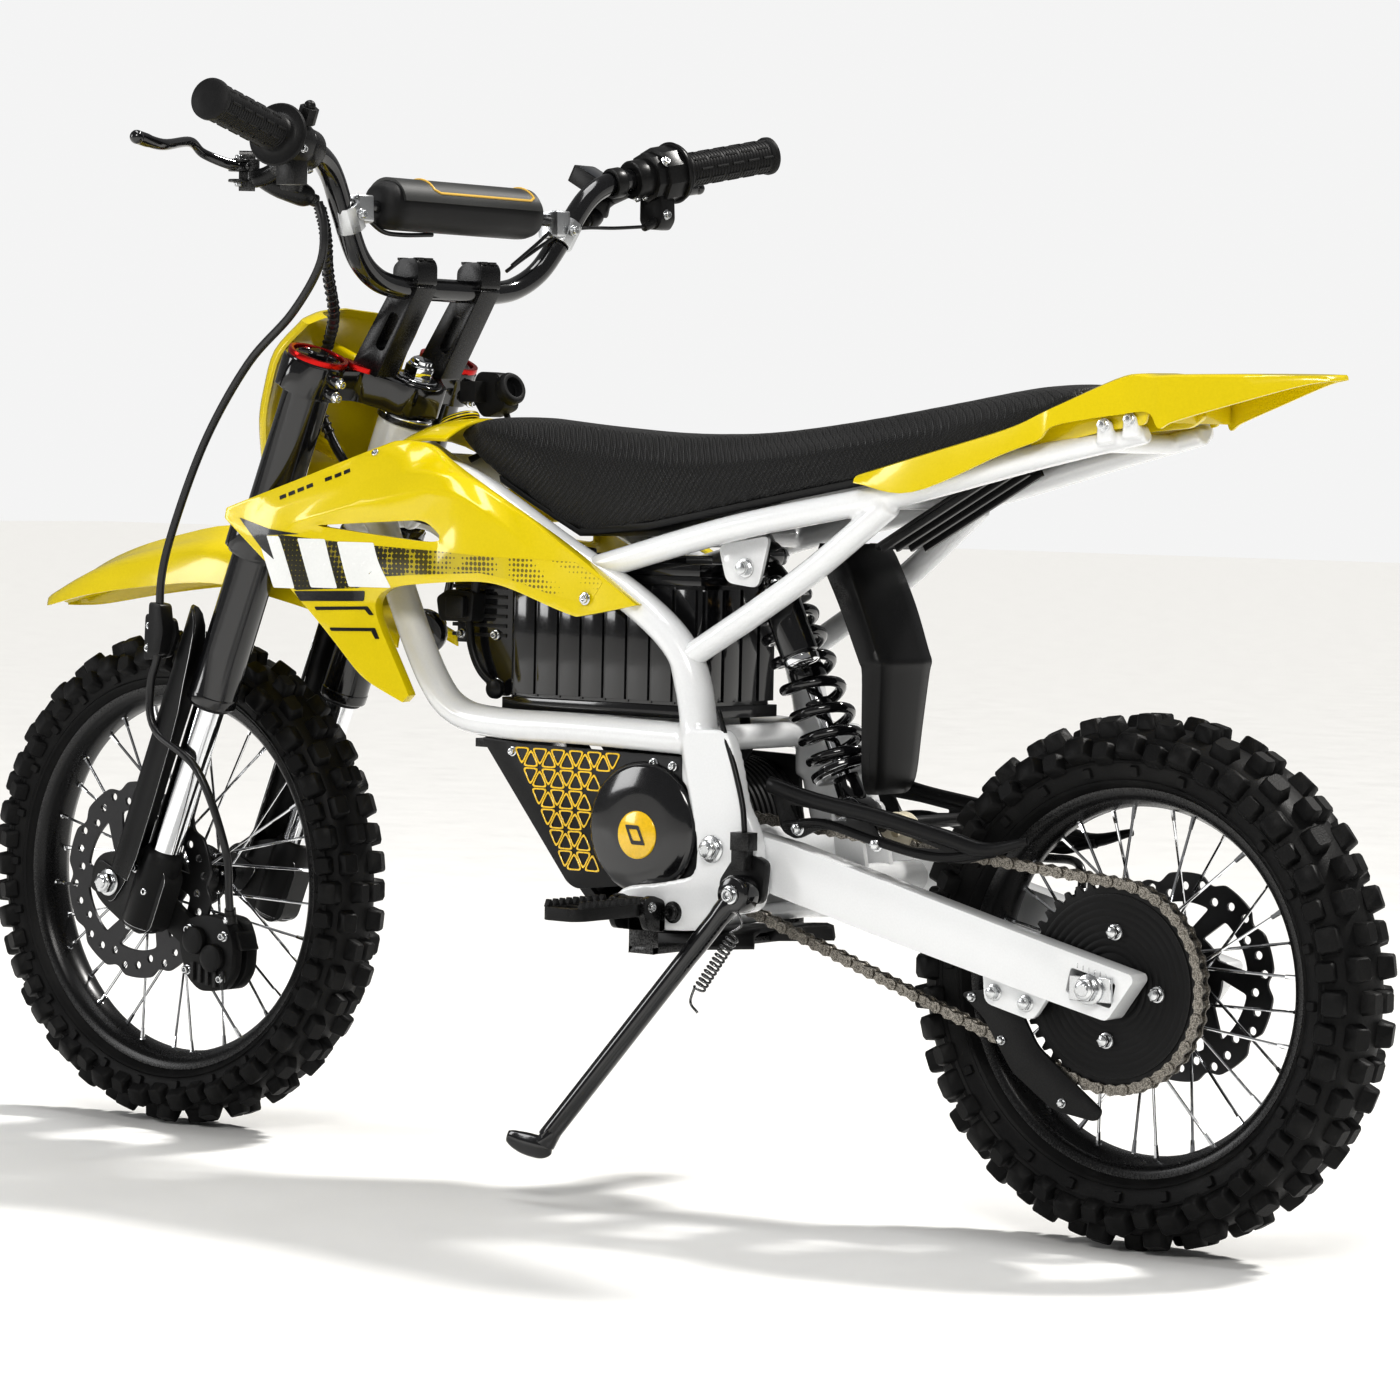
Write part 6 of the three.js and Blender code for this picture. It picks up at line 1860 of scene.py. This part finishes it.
def add_bars():
    half = [(812, 0, 834), (812, 40, 834), (812, 72, 834.5), (811, 104, 841), (807, 134, 859), (801, 160, 892),
            (793, 188, 931), (785, 214, 948),
            *[grip_point(t) for t in (-0.35, 0, 0.45, 0.92)]]
    route = [Vector((p[0], -p[1], p[2])) for p in reversed(half[1:])] + [Vector(p) for p in half]
    shape = Shape().sweep(curve(route, 8), 11, 28)
    shape.rod((801, -158, 908), (801, 158, 908), 6, 20)
    piece("handlebar_bent", shape, "gloss", "steering", "handlebar", bevel=0.4, segments=1)
    clamps = Shape()
    for side in (-1, 1):
        low, high = Vector((800.5, side * 151, 882)), Vector((796, side * 174, 921))
        run = (high - low).normalized()
        place = Matrix.Translation(low) @ facing(run).to_4x4()
        clamps.plate(decagon(14.5), 4, 30, [ring_of(11, 24)], place)
        mid = low + run * 17
        block = [(mid.x - 12, 892), (mid.x + 12, 890), (mid.x + 13, 916), (mid.x - 11, 918)]
        y0, y1 = sorted((side * 136, side * 156))
        clamps.plate(rounded(block, 3), y0, y1)
        clamps.bolt(mid + Vector((-15, side * -3, 2)), (-1, 0, 0.1), 5.4, 4, "cap")
        clamps.bolt(mid + Vector((0, side * -12, 16)), (0.1, side * -0.5, 1), 5, 4, "hex")
    piece("crossbar_clamps", clamps, "alloy", "steering", bevel=1.4)
    foot = steer(15, 0, -27.6)
    for side, name in ((1, "left"), (-1, "right")):
        y = side * 47
        shape = Shape()
        body = [(foot.x - 16, foot.z - 4), (foot.x + 16, foot.z + 8.5), (828.5, 835.5), (795.5, 835.5)]
        lower = rounded(body, 3)
        up, over = Vector((-0.53, 0.85)), Vector((0.85, 0.53))
        corners = [Vector((834, 793)) + up * a + over * b for a, b in ((-20, -6), (-20, 6), (20, 6), (20, -6))]
        hole = rounded(corners, 5.8)
        shape.plate(lower, y - 14, y + 14, [hole])
        cap = [(796, 836.6), (828, 836.6), (827.4, 855), (818, 862.5), (800, 862.5), (796, 856)]
        shape.plate(rounded(cap, 4), y - 14, y + 14)
        for x in (802, 822):
            for dy in (-6.5, 6.5):
                shape.lathe([(2.6, 860.5), (5, 860.5), (5.3, 863.2), (2.6, 863.2)], (x, y + dy, 0), Z, 20)
        piece("riser_machined_" + name, shape, "metal", "steering", "riser_" + name, bevel=1.8,
              segments=3)
    add_bar_pad()
    add_grips()


def add_bar_pad():
    centre = Vector((803, 0, 911))
    rings = []
    for y, share in ((-117, 0.3), (-115.5, 0.62), (-111, 0.82), (-104, 0.94), (-96, 1), (-60, 1), (-20, 1),
                     (20, 1), (60, 1), (96, 1), (104, 0.94),
                     (111, 0.82), (115.5, 0.62), (117, 0.3)):
        ring = []
        for k in range(32):
            a = 2 * math.pi * k / 32
            c, s = math.cos(a), math.sin(a)
            ring.append(centre + Vector((24 * share * math.copysign(abs(c) ** 0.86, c), y,
                                         24 * share * math.copysign(abs(s) ** 0.86, s))))
        rings.append(ring)
    pad = piece("bar_pad_cover", Shape().skin(rings), "cover", None, voxel=4.0, smooth=2)
    finish_foam(pad, 0.002, 3)
    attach(pad, "steering")
    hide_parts("bar_pad")
    wide, thick, rings = 101, 25.9, []
    for k in range(19):
        a = math.radians(8 + 164 * k / 18)
        outer = [centre + Vector((-thick * math.cos(a), y, thick * math.sin(a)))
                 for y in (-wide, -wide * 0.5, 0, wide * 0.5, wide)]
        inner = [centre + Vector((-(thick - 3) * math.cos(a), y, (thick - 3) * math.sin(a)))
                 for y in (wide, 0, -wide)]
        rings.append(outer + inner)
    panel = Shape().skin(rings)
    panel.look = 1
    loop = [(48, 30), (-86, 30), (-93, 38), (-93, 108), (-86, 116), (48, 116), (55, 108), (55, 38)]
    dense = []
    for (y1, a1), (y2, a2) in zip(loop, loop[1:] + loop[:1]):
        for k in range(12):
            y, a = y1 + (y2 - y1) * k / 12, math.radians(a1 + (a2 - a1) * k / 12)
            dense.append(centre + Vector((-26 * math.cos(a), y, 26 * math.sin(a))))
    panel.sweep(dense, 1.3, 8, loop=True)
    piece("bar_pad_panel", panel, "panel gold_print", "steering", bevel=0.0)


def sleeve(shape, side, profile, sides=40):
    """A turned shape on the grip's axis, from (radius, share along the grip)."""
    a, b = grip_point(0, side), grip_point(1, side)
    span = (b - a).length
    return shape.lathe([(r, t * span) for r, t in profile], a, (b - a).normalized(), sides)


def add_grips():
    for side, name, node_name, body in ((1, "left", "grip_left", "steering"),
                                        (-1, "right", "throttle_grip", "throttle")):
        shape = Shape()
        profile = [(11.6, 0), (27, 0), (29, 0.008), (29.3, 0.02), (28, 0.034), (21, 0.04), (18, 0.055), (16.8, 0.075)]
        count = 26
        for k in range(count):
            t = 0.1 + 0.82 * k / count
            profile += [(16.2, t), (16.9, t + 0.006), (16.9, t + 0.02), (16.2, t + 0.026)]
        profile += [(16.4, 0.93), (18.6, 0.945), (19.2, 0.96), (19, 0.985), (16.5, 1.0), (6, 1.004), (0, 1.004),
                    (0, 0.94), (11.6, 0.93)]
        sleeve(shape, side, profile, 56)
        a, b = grip_point(0, side), grip_point(1, side)
        run = (b - a).normalized()
        for k in range(10):
            turn = 2 * math.pi * k / 10
            across = facing(run) @ Vector((math.cos(turn), math.sin(turn), 0))
            for t in (0.2, 0.36, 0.52, 0.68, 0.84):
                mid = a.lerp(b, t + (0.04 if k % 2 else 0))
                shape.rod(mid - run * 7 + across * 16.3, mid + run * 7 + across * 16.3, 1.5, 8)
        piece("grip_waffle_" + name, shape, "rubber", body, node_name, sharp=30)


def perch_shape(side):
    """The lever's holder: a split clamp, its arm, the master cylinder and the pivot fork."""
    x, y, z = LEVER_PIVOT

    def at(px, py, pz):
        return Vector((px, side * py, pz))

    shape = Shape()
    sleeve(shape, side, [(11.8, -0.44), (18.5, -0.44), (19.4, -0.425), (19.4, -0.295), (18.5, -0.28),
                         (11.8, -0.28)], 36)
    shape.rod(at(784, y - 13, 947), at(812, y - 12, 936), 10, 20, 8.5)
    shape.sweep(curve([at(806, y - 14, 938), at(822, y - 12, 930), at(x - 12, y - 8, z - 11)], 5), 8.5, 18)
    shape.sweep(curve([at(806, y - 54, 912), at(812, y - 36, 917), at(x - 16, y - 14, z - 11)], 5),
                [8, 9.8, 10.8, 11, 11, 11, 11, 11, 10.4, 9.4, 8], 24)
    shape.lathe([(0, 0), (12.6, 0), (13.4, 2), (13.4, 15), (12, 17.5), (0, 17.5)], at(813, y - 32, 918),
                Vector((-0.25, 0, 1)), 32)
    shape.rod(at(804, y - 60, 909), at(807, y - 50, 912), 6, 16)
    for up in (-14.2, -4.4, 4.2):
        shape.lathe([(0, up), (9.5, up), (10, up + 1), (9.5, up + 2.6), (0, up + 2.6)], at(x, y, z), Z, 28)
        shape.sweep([at(x, y, z + up + 1.3), at(x - 12, y - 9, z + up + 1.3)], 1, section=oval(9.5, 1.4))
    shape.rod(at(x - 10, y - 8, z - 14), at(x - 10, y - 8, z + 7), 6, 18)
    shape.look = 1
    for up, way in ((7, 1), (-14.4, -1)):
        shape.bolt(at(x, y, z + up), Z * way, 5, 3, "cap")
    for share in (-0.40, -0.32):
        p = grip_point(share, side) + Vector((-4, 0, -18))
        shape.bolt(p, Vector((-0.5, 0, -0.86)), 4.2, 3, "cap")
    return shape


def lever_shape():
    x, y, z = LEVER_PIVOT
    route = curve([(x - 5, y - 5, z), (x, y + 16, z + 2), (x + 8, y + 40, z + 10), (x + 4, y + 62, z + 19),
                   between(LEVER_PIVOT, LEVER_TIP, 0.75), LEVER_TIP], 8)
    radii = []
    for i in range(len(route)):
        share = i / (len(route) - 1)
        radii.append(5.4 - 1.9 * math.sin(math.pi * min(1, share * 1.1)) * 0.6 + (0.5 if share > 0.9 else 0))
    shape = Shape().sweep(route, radii, section=oval(0.72, 1.06, 18))
    shape.ball(route[-1], 6.4, 12)
    shape.lathe([(3, -3.4), (8.6, -3.4), (9, -2.6), (9, 2.6), (8.6, 3.4), (3, 3.4)], (x, y, z), Z, 28)
    shape.ball(between(LEVER_PIVOT, LEVER_TIP, 0.02) + Vector((-7, -6, 0)), 4.5, 8)
    return shape


def add_controls():
    piece("perch_left_cast", perch_shape(1), "metal steel", "steering", "perch_left", bevel=0.6,
          segments=1)
    piece("lever_left_forged", lever_shape(), "gloss", "lever_left", "lever_left", bevel=0.4,
          segments=1)
    piece("lever_right_forged", lever_shape().flipped(), "gloss", "lever_right", "lever_right",
          bevel=0.4, segments=1)
    switch = Shape()
    sleeve(switch, 1, [(11.8, -0.25), (21, -0.25), (22.5, -0.235), (22.5, -0.07), (21, -0.05), (11.8, -0.05)], 12)
    base = grip_point(-0.15)
    switch.sweep([base + Vector((-14, -6, 16)), base + Vector((-20, -5, 30))], 1, section=oval(9, 9, 8))
    switch.ball(base + Vector((-20, -5, 31)), 5.5, 10)
    switch.box((base.x - 12, base.y - 12, base.z - 40), (base.x + 10, base.y + 6, base.z - 14))
    switch.look = 1
    switch.bolt(base + Vector((-21, 4, -8)), (-1, 0, -0.2), 4.2, 3, "cap")
    piece("switch_left", switch, "plastic steel", "steering", bevel=1.1)
    housing = perch_shape(-1)
    housing.look = 0
    flat = decagon(28.5)
    a, b = grip_point(0, -1), grip_point(1, -1)
    run, span = (b - a).normalized(), (b - a).length
    place = Matrix.Translation(a) @ facing(run).to_4x4()
    housing.plate(flat, -0.20 * span, -0.025 * span, [ring_of(12, 24)], place)
    housing.plate([(p[0] * 0.86, p[1] * 0.86) for p in flat], -0.29 * span, -0.20 * span, [ring_of(12, 24)], place)
    sleeve(housing, -1, [(12, -0.03), (29.5, -0.03), (31, -0.022), (31, -0.008), (29.5, -0.002), (12, -0.002)], 56)
    housing.plate(rounded([(758, 950), (784, 950), (784, 912), (776, 905), (762, 905), (756, 914)], 4), -283, -262)
    housing.rod((766, -262, 912), (766, -246, 906), 5.5, 14, 4)
    housing.look = 1
    top = grip_point(-0.25, -1)
    housing.bolt(top + Vector((-22, 2, 14)), (-0.8, 0.1, 0.55), 5.4, 3.4, "cap")
    housing.bolt((757, -270, 920), (-1, 0, 0), 5.4, 3.4, "cap")
    piece("throttle_housing_split", housing, "plastic steel", "steering", "throttle_housing",
          bevel=1.0)
    shape = Shape()
    place = Matrix.Translation((812, -220, 952)) @ Matrix.Rotation(math.radians(-28), 4, "Y")
    rim_points = rounded([(-17, -17), (17, -17), (17, 17), (-17, 17)], 4)
    shape.plate(rim_points, -9, 8, [], place)
    sleeve(shape, -1, [(11.8, -0.64), (14.6, -0.64), (15.2, -0.63), (15.2, -0.55), (14.6, -0.54), (11.8, -0.54)], 28)
    shape.rod((786, -219, 950), (806, -219, 951), 5, 16)
    shape.look = 1
    shape.plate(rounded([(-13.5, -13.5), (13.5, -13.5), (13.5, 13.5), (-13.5, 13.5)], 3), 8, 8.8, [], place)
    shape.look = 2
    shape.plate([(-16.2, -10), (-15, -10), (-15, 12), (-16.2, 12)], 7.6, 8.4, [], place)
    piece("display_unit", shape, "plastic glass steel", "steering", "display", bevel=0.7)


# -------------------------------------------------------------- front body panels


PLATE_BOW = 13


def add_front_panels():
    rows = [(4, 58, 92), (2, 66, 92), (-4, 80, 93), (-8, 83, 94), (-42, 92, 106), (-80, 93, 104),
            (-110, 93, 98), (-145, 87, 86), (-153, 83, 83),
            (-168, 66, 79), (-172, 56, 78)]
    rings = []
    for up, half, ahead_edge in curve(rows, 4):
        face = []
        for t in (-1, -0.985, -0.94, -0.85, -0.6, -0.3, 0, 0.3, 0.6, 0.85, 0.94, 0.985, 1):
            dip = abs(t)
            ahead = PLATE_BOW * (1 - dip ** 2) + (3 if dip < 0.1 else 0) - (2.5 if dip > 0.9 else 0) - (9
                if dip == 1 else 4 if dip > 0.98 else 0)
            face.append(steer(ahead_edge + 4 + ahead, half * t, up))
        back = [p + STEER.to_3x3() @ Vector((-3, -math.copysign(1.6, p.y) if abs(p.y) > half * 0.9 else 0, 0))
                for p in reversed(face)]
        rings.append(face + back)
    plate = Shape().skin(rings)
    plate.rod(steer(66, 0, -40), steer(116, 0, -40), 8, 20)
    plate.rod(steer(66, 0, -130), steer(104, 0, -130), 8, 20)
    piece("number_plate_moulded", plate, "yellow", "steering", "number_plate", bevel=0.5,
          segments=1, sharp=36)
    sections = curve([(828, 46, 0), (890, 54, 0), (950, 60, 0), (1050, 66, 0), (1150, 66, 0), (1230, 58, 0),
                      (1296, 41, 0), (1316, 28, 0), (1325, 14, 0)], 5)
    heights = curve([(828, 491, 515), (890, 512, 540), (950, 529, 563), (1050, 546, 602), (1150, 539, 590),
                     (1230, 529, 568), (1296, 517, 538),
                     (1316, 515, 529), (1325, 515, 522)], 5)
    rings = []
    for s, h in zip(sections, heights):
        x, half, low, high = s.x, s.y, h.y, h.z
        drop = high - low
        face = []
        for t, share in ((-1, 1), (-0.99, 0.82), (-0.95, 0.52), (-0.86, 0.38), (-0.62, 0.24), (-0.36, 0.1),
                         (-0.26, 0.0), (0, 0.03)):
            face.append(Vector((x, half * t, high - drop * share)))
        face += [Vector((p.x, -p.y, p.z)) for p in reversed(face[:-1])]
        back = []
        for p in reversed(face):
            edge = abs(p.y) > half * 0.93
            thick = min(3.0, drop * 0.4)
            back.append(p + Vector((0, -math.copysign(min(2.6, half * 0.2), p.y) if edge else 0,
                                    -thick if not edge else -0.4)))
        back[0].z, back[-1].z = face[-1].z, face[0].z
        rings.append(face + back)
    fender = Shape().skin(rings)
    fender.look = 1
    for side in (-1, 1):
        for x in (884, 934):
            fender.bolt((x, side * 24, 538 + (x - 884) * 0.48), (-0.3, 0, 0.95), 6, 4, "cap")
    piece("front_fender_moulded", fender, "yellow steel", "steering", "front_fender",
          bevel=0.5, segments=1, sharp=40)


# -------------------------------------------------------------------------- hoses


FRONT_HOSE = [
    (800, 199, 908), (795, 197, 885), (802, 194, 850), (850, 178, 806), (930, 150, 760), (997, 134, 690),
    (1040, 130, 610),
    (1062, 127, 550), (1067, 123, 485), (1080, 121, 445), (1072, 122, 403), (1016, 121, 366), (990, 108, 292),
    (1002, 88, 240), (1010, 77, 218),
]
LOOM = [
    (812, 184, 905), (815, 172, 880), (838, 142, 845), (878, 88, 808), (922, 48, 776), (934, 48, 735),
    (912, 50, 690), (880, 52, 655),
    (840, 66, 640), (800, 72, 622), (760, 60, 610),
]
REAR_HOSE = [(108, -56, 301), (109, -57, 318), (126, -68, 326), (160, -75, 326), (230, -75, 326),
             (300, -75, 338), (352, -72, 358)]


BANJO = [(0, -3), (6, -3), (6.4, -1), (6.4, 1), (6, 3), (0, 3)]


def add_hoses():
    route = curve(FRONT_HOSE, 8)
    hose = piece("front_brake_hose_line", Shape().sweep(route, 4, 16), "hose", None, sharp=50)
    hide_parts("front_brake_hose")
    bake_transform(hose)
    ends = Shape()
    ends.look = 1
    ends.lathe(BANJO, route[-1], Y, 24)
    ends.bolt(Vector(route[-1]) + Y * 3, Y, 5, 4)
    ends.look = 0
    ends.sweep(route[-6:], [5, 5.4, 5.4, 5.4, 5.6, 5.6], 16)
    piece("hose_end_fitting", ends, "plastic steel", "fork_lower", bevel=0.3, segments=1)
    route = curve(LOOM, 12)
    shape = Shape().sweep(route, 4.6, 16)
    side, wrap = None, []
    for i, p in enumerate(route[:-1]):
        ahead = (route[i + 1] - p).normalized()
        side = (Y.cross(ahead) if side is None else side - ahead * side.dot(ahead)).normalized()
        other = ahead.cross(side)
        for k in range(4):
            a = 2 * math.pi * (i / 1.8 + k / 7.2)
            wrap.append(p.lerp(route[i + 1], k / 4) + (side * math.cos(a) + other * math.sin(a)) * 5.1)
    shape.sweep(wrap[:len(wrap) * 3 // 5], 1.25, 8)
    loom = piece("cable_loom_wrapped", shape, "hose", None, sharp=50)
    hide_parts("cable_loom")
    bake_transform(loom)
    route = curve(REAR_HOSE, 8)
    rear = piece("rear_brake_hose_line", Shape().sweep(route, 4, 16), "hose", "swingarm",
                 "rear_brake_hose", sharp=50)
    banjo = Shape().lathe(BANJO, route[0] - Z * 2, Y, 24)
    piece("rear_hose_fitting", banjo, "steel", "swingarm", bevel=0.3, segments=1)
    thin = Shape()
    thin.sweep(curve([(806, -204, 909), (800, -178, 912), (798, -150, 904), (800, -120, 884), (806, -90, 862)],
                     6), 1.8, 10)
    thin.sweep(curve([(766, -248, 907), (778, -214, 904), (790, -176, 902), (798, -146, 892), (804, -110, 872),
                      (808, -84, 856)], 6), 1.8, 10)
    thin.sweep(curve([(804, 130, 899), (808, 100, 886), (809, 70, 884), (806, 30, 886)], 6), 2.2, 10)
    piece("bar_wires", thin, "hose", "steering", sharp=50)


LOOKS = make_looks()
add_camera()
add_stage()
add_hoses()
add_wheels()
add_chain()
add_frame()
add_subframe()
add_swingarm()
add_guards()
add_battery()
add_motor()
add_skid()
add_shock()
add_seat()
add_shrouds()
add_tank_cover()
add_tail()
add_pegs()
add_stand()
add_clamps()
add_lowers()
add_brakes()
add_bars()
add_controls()
add_front_panels()
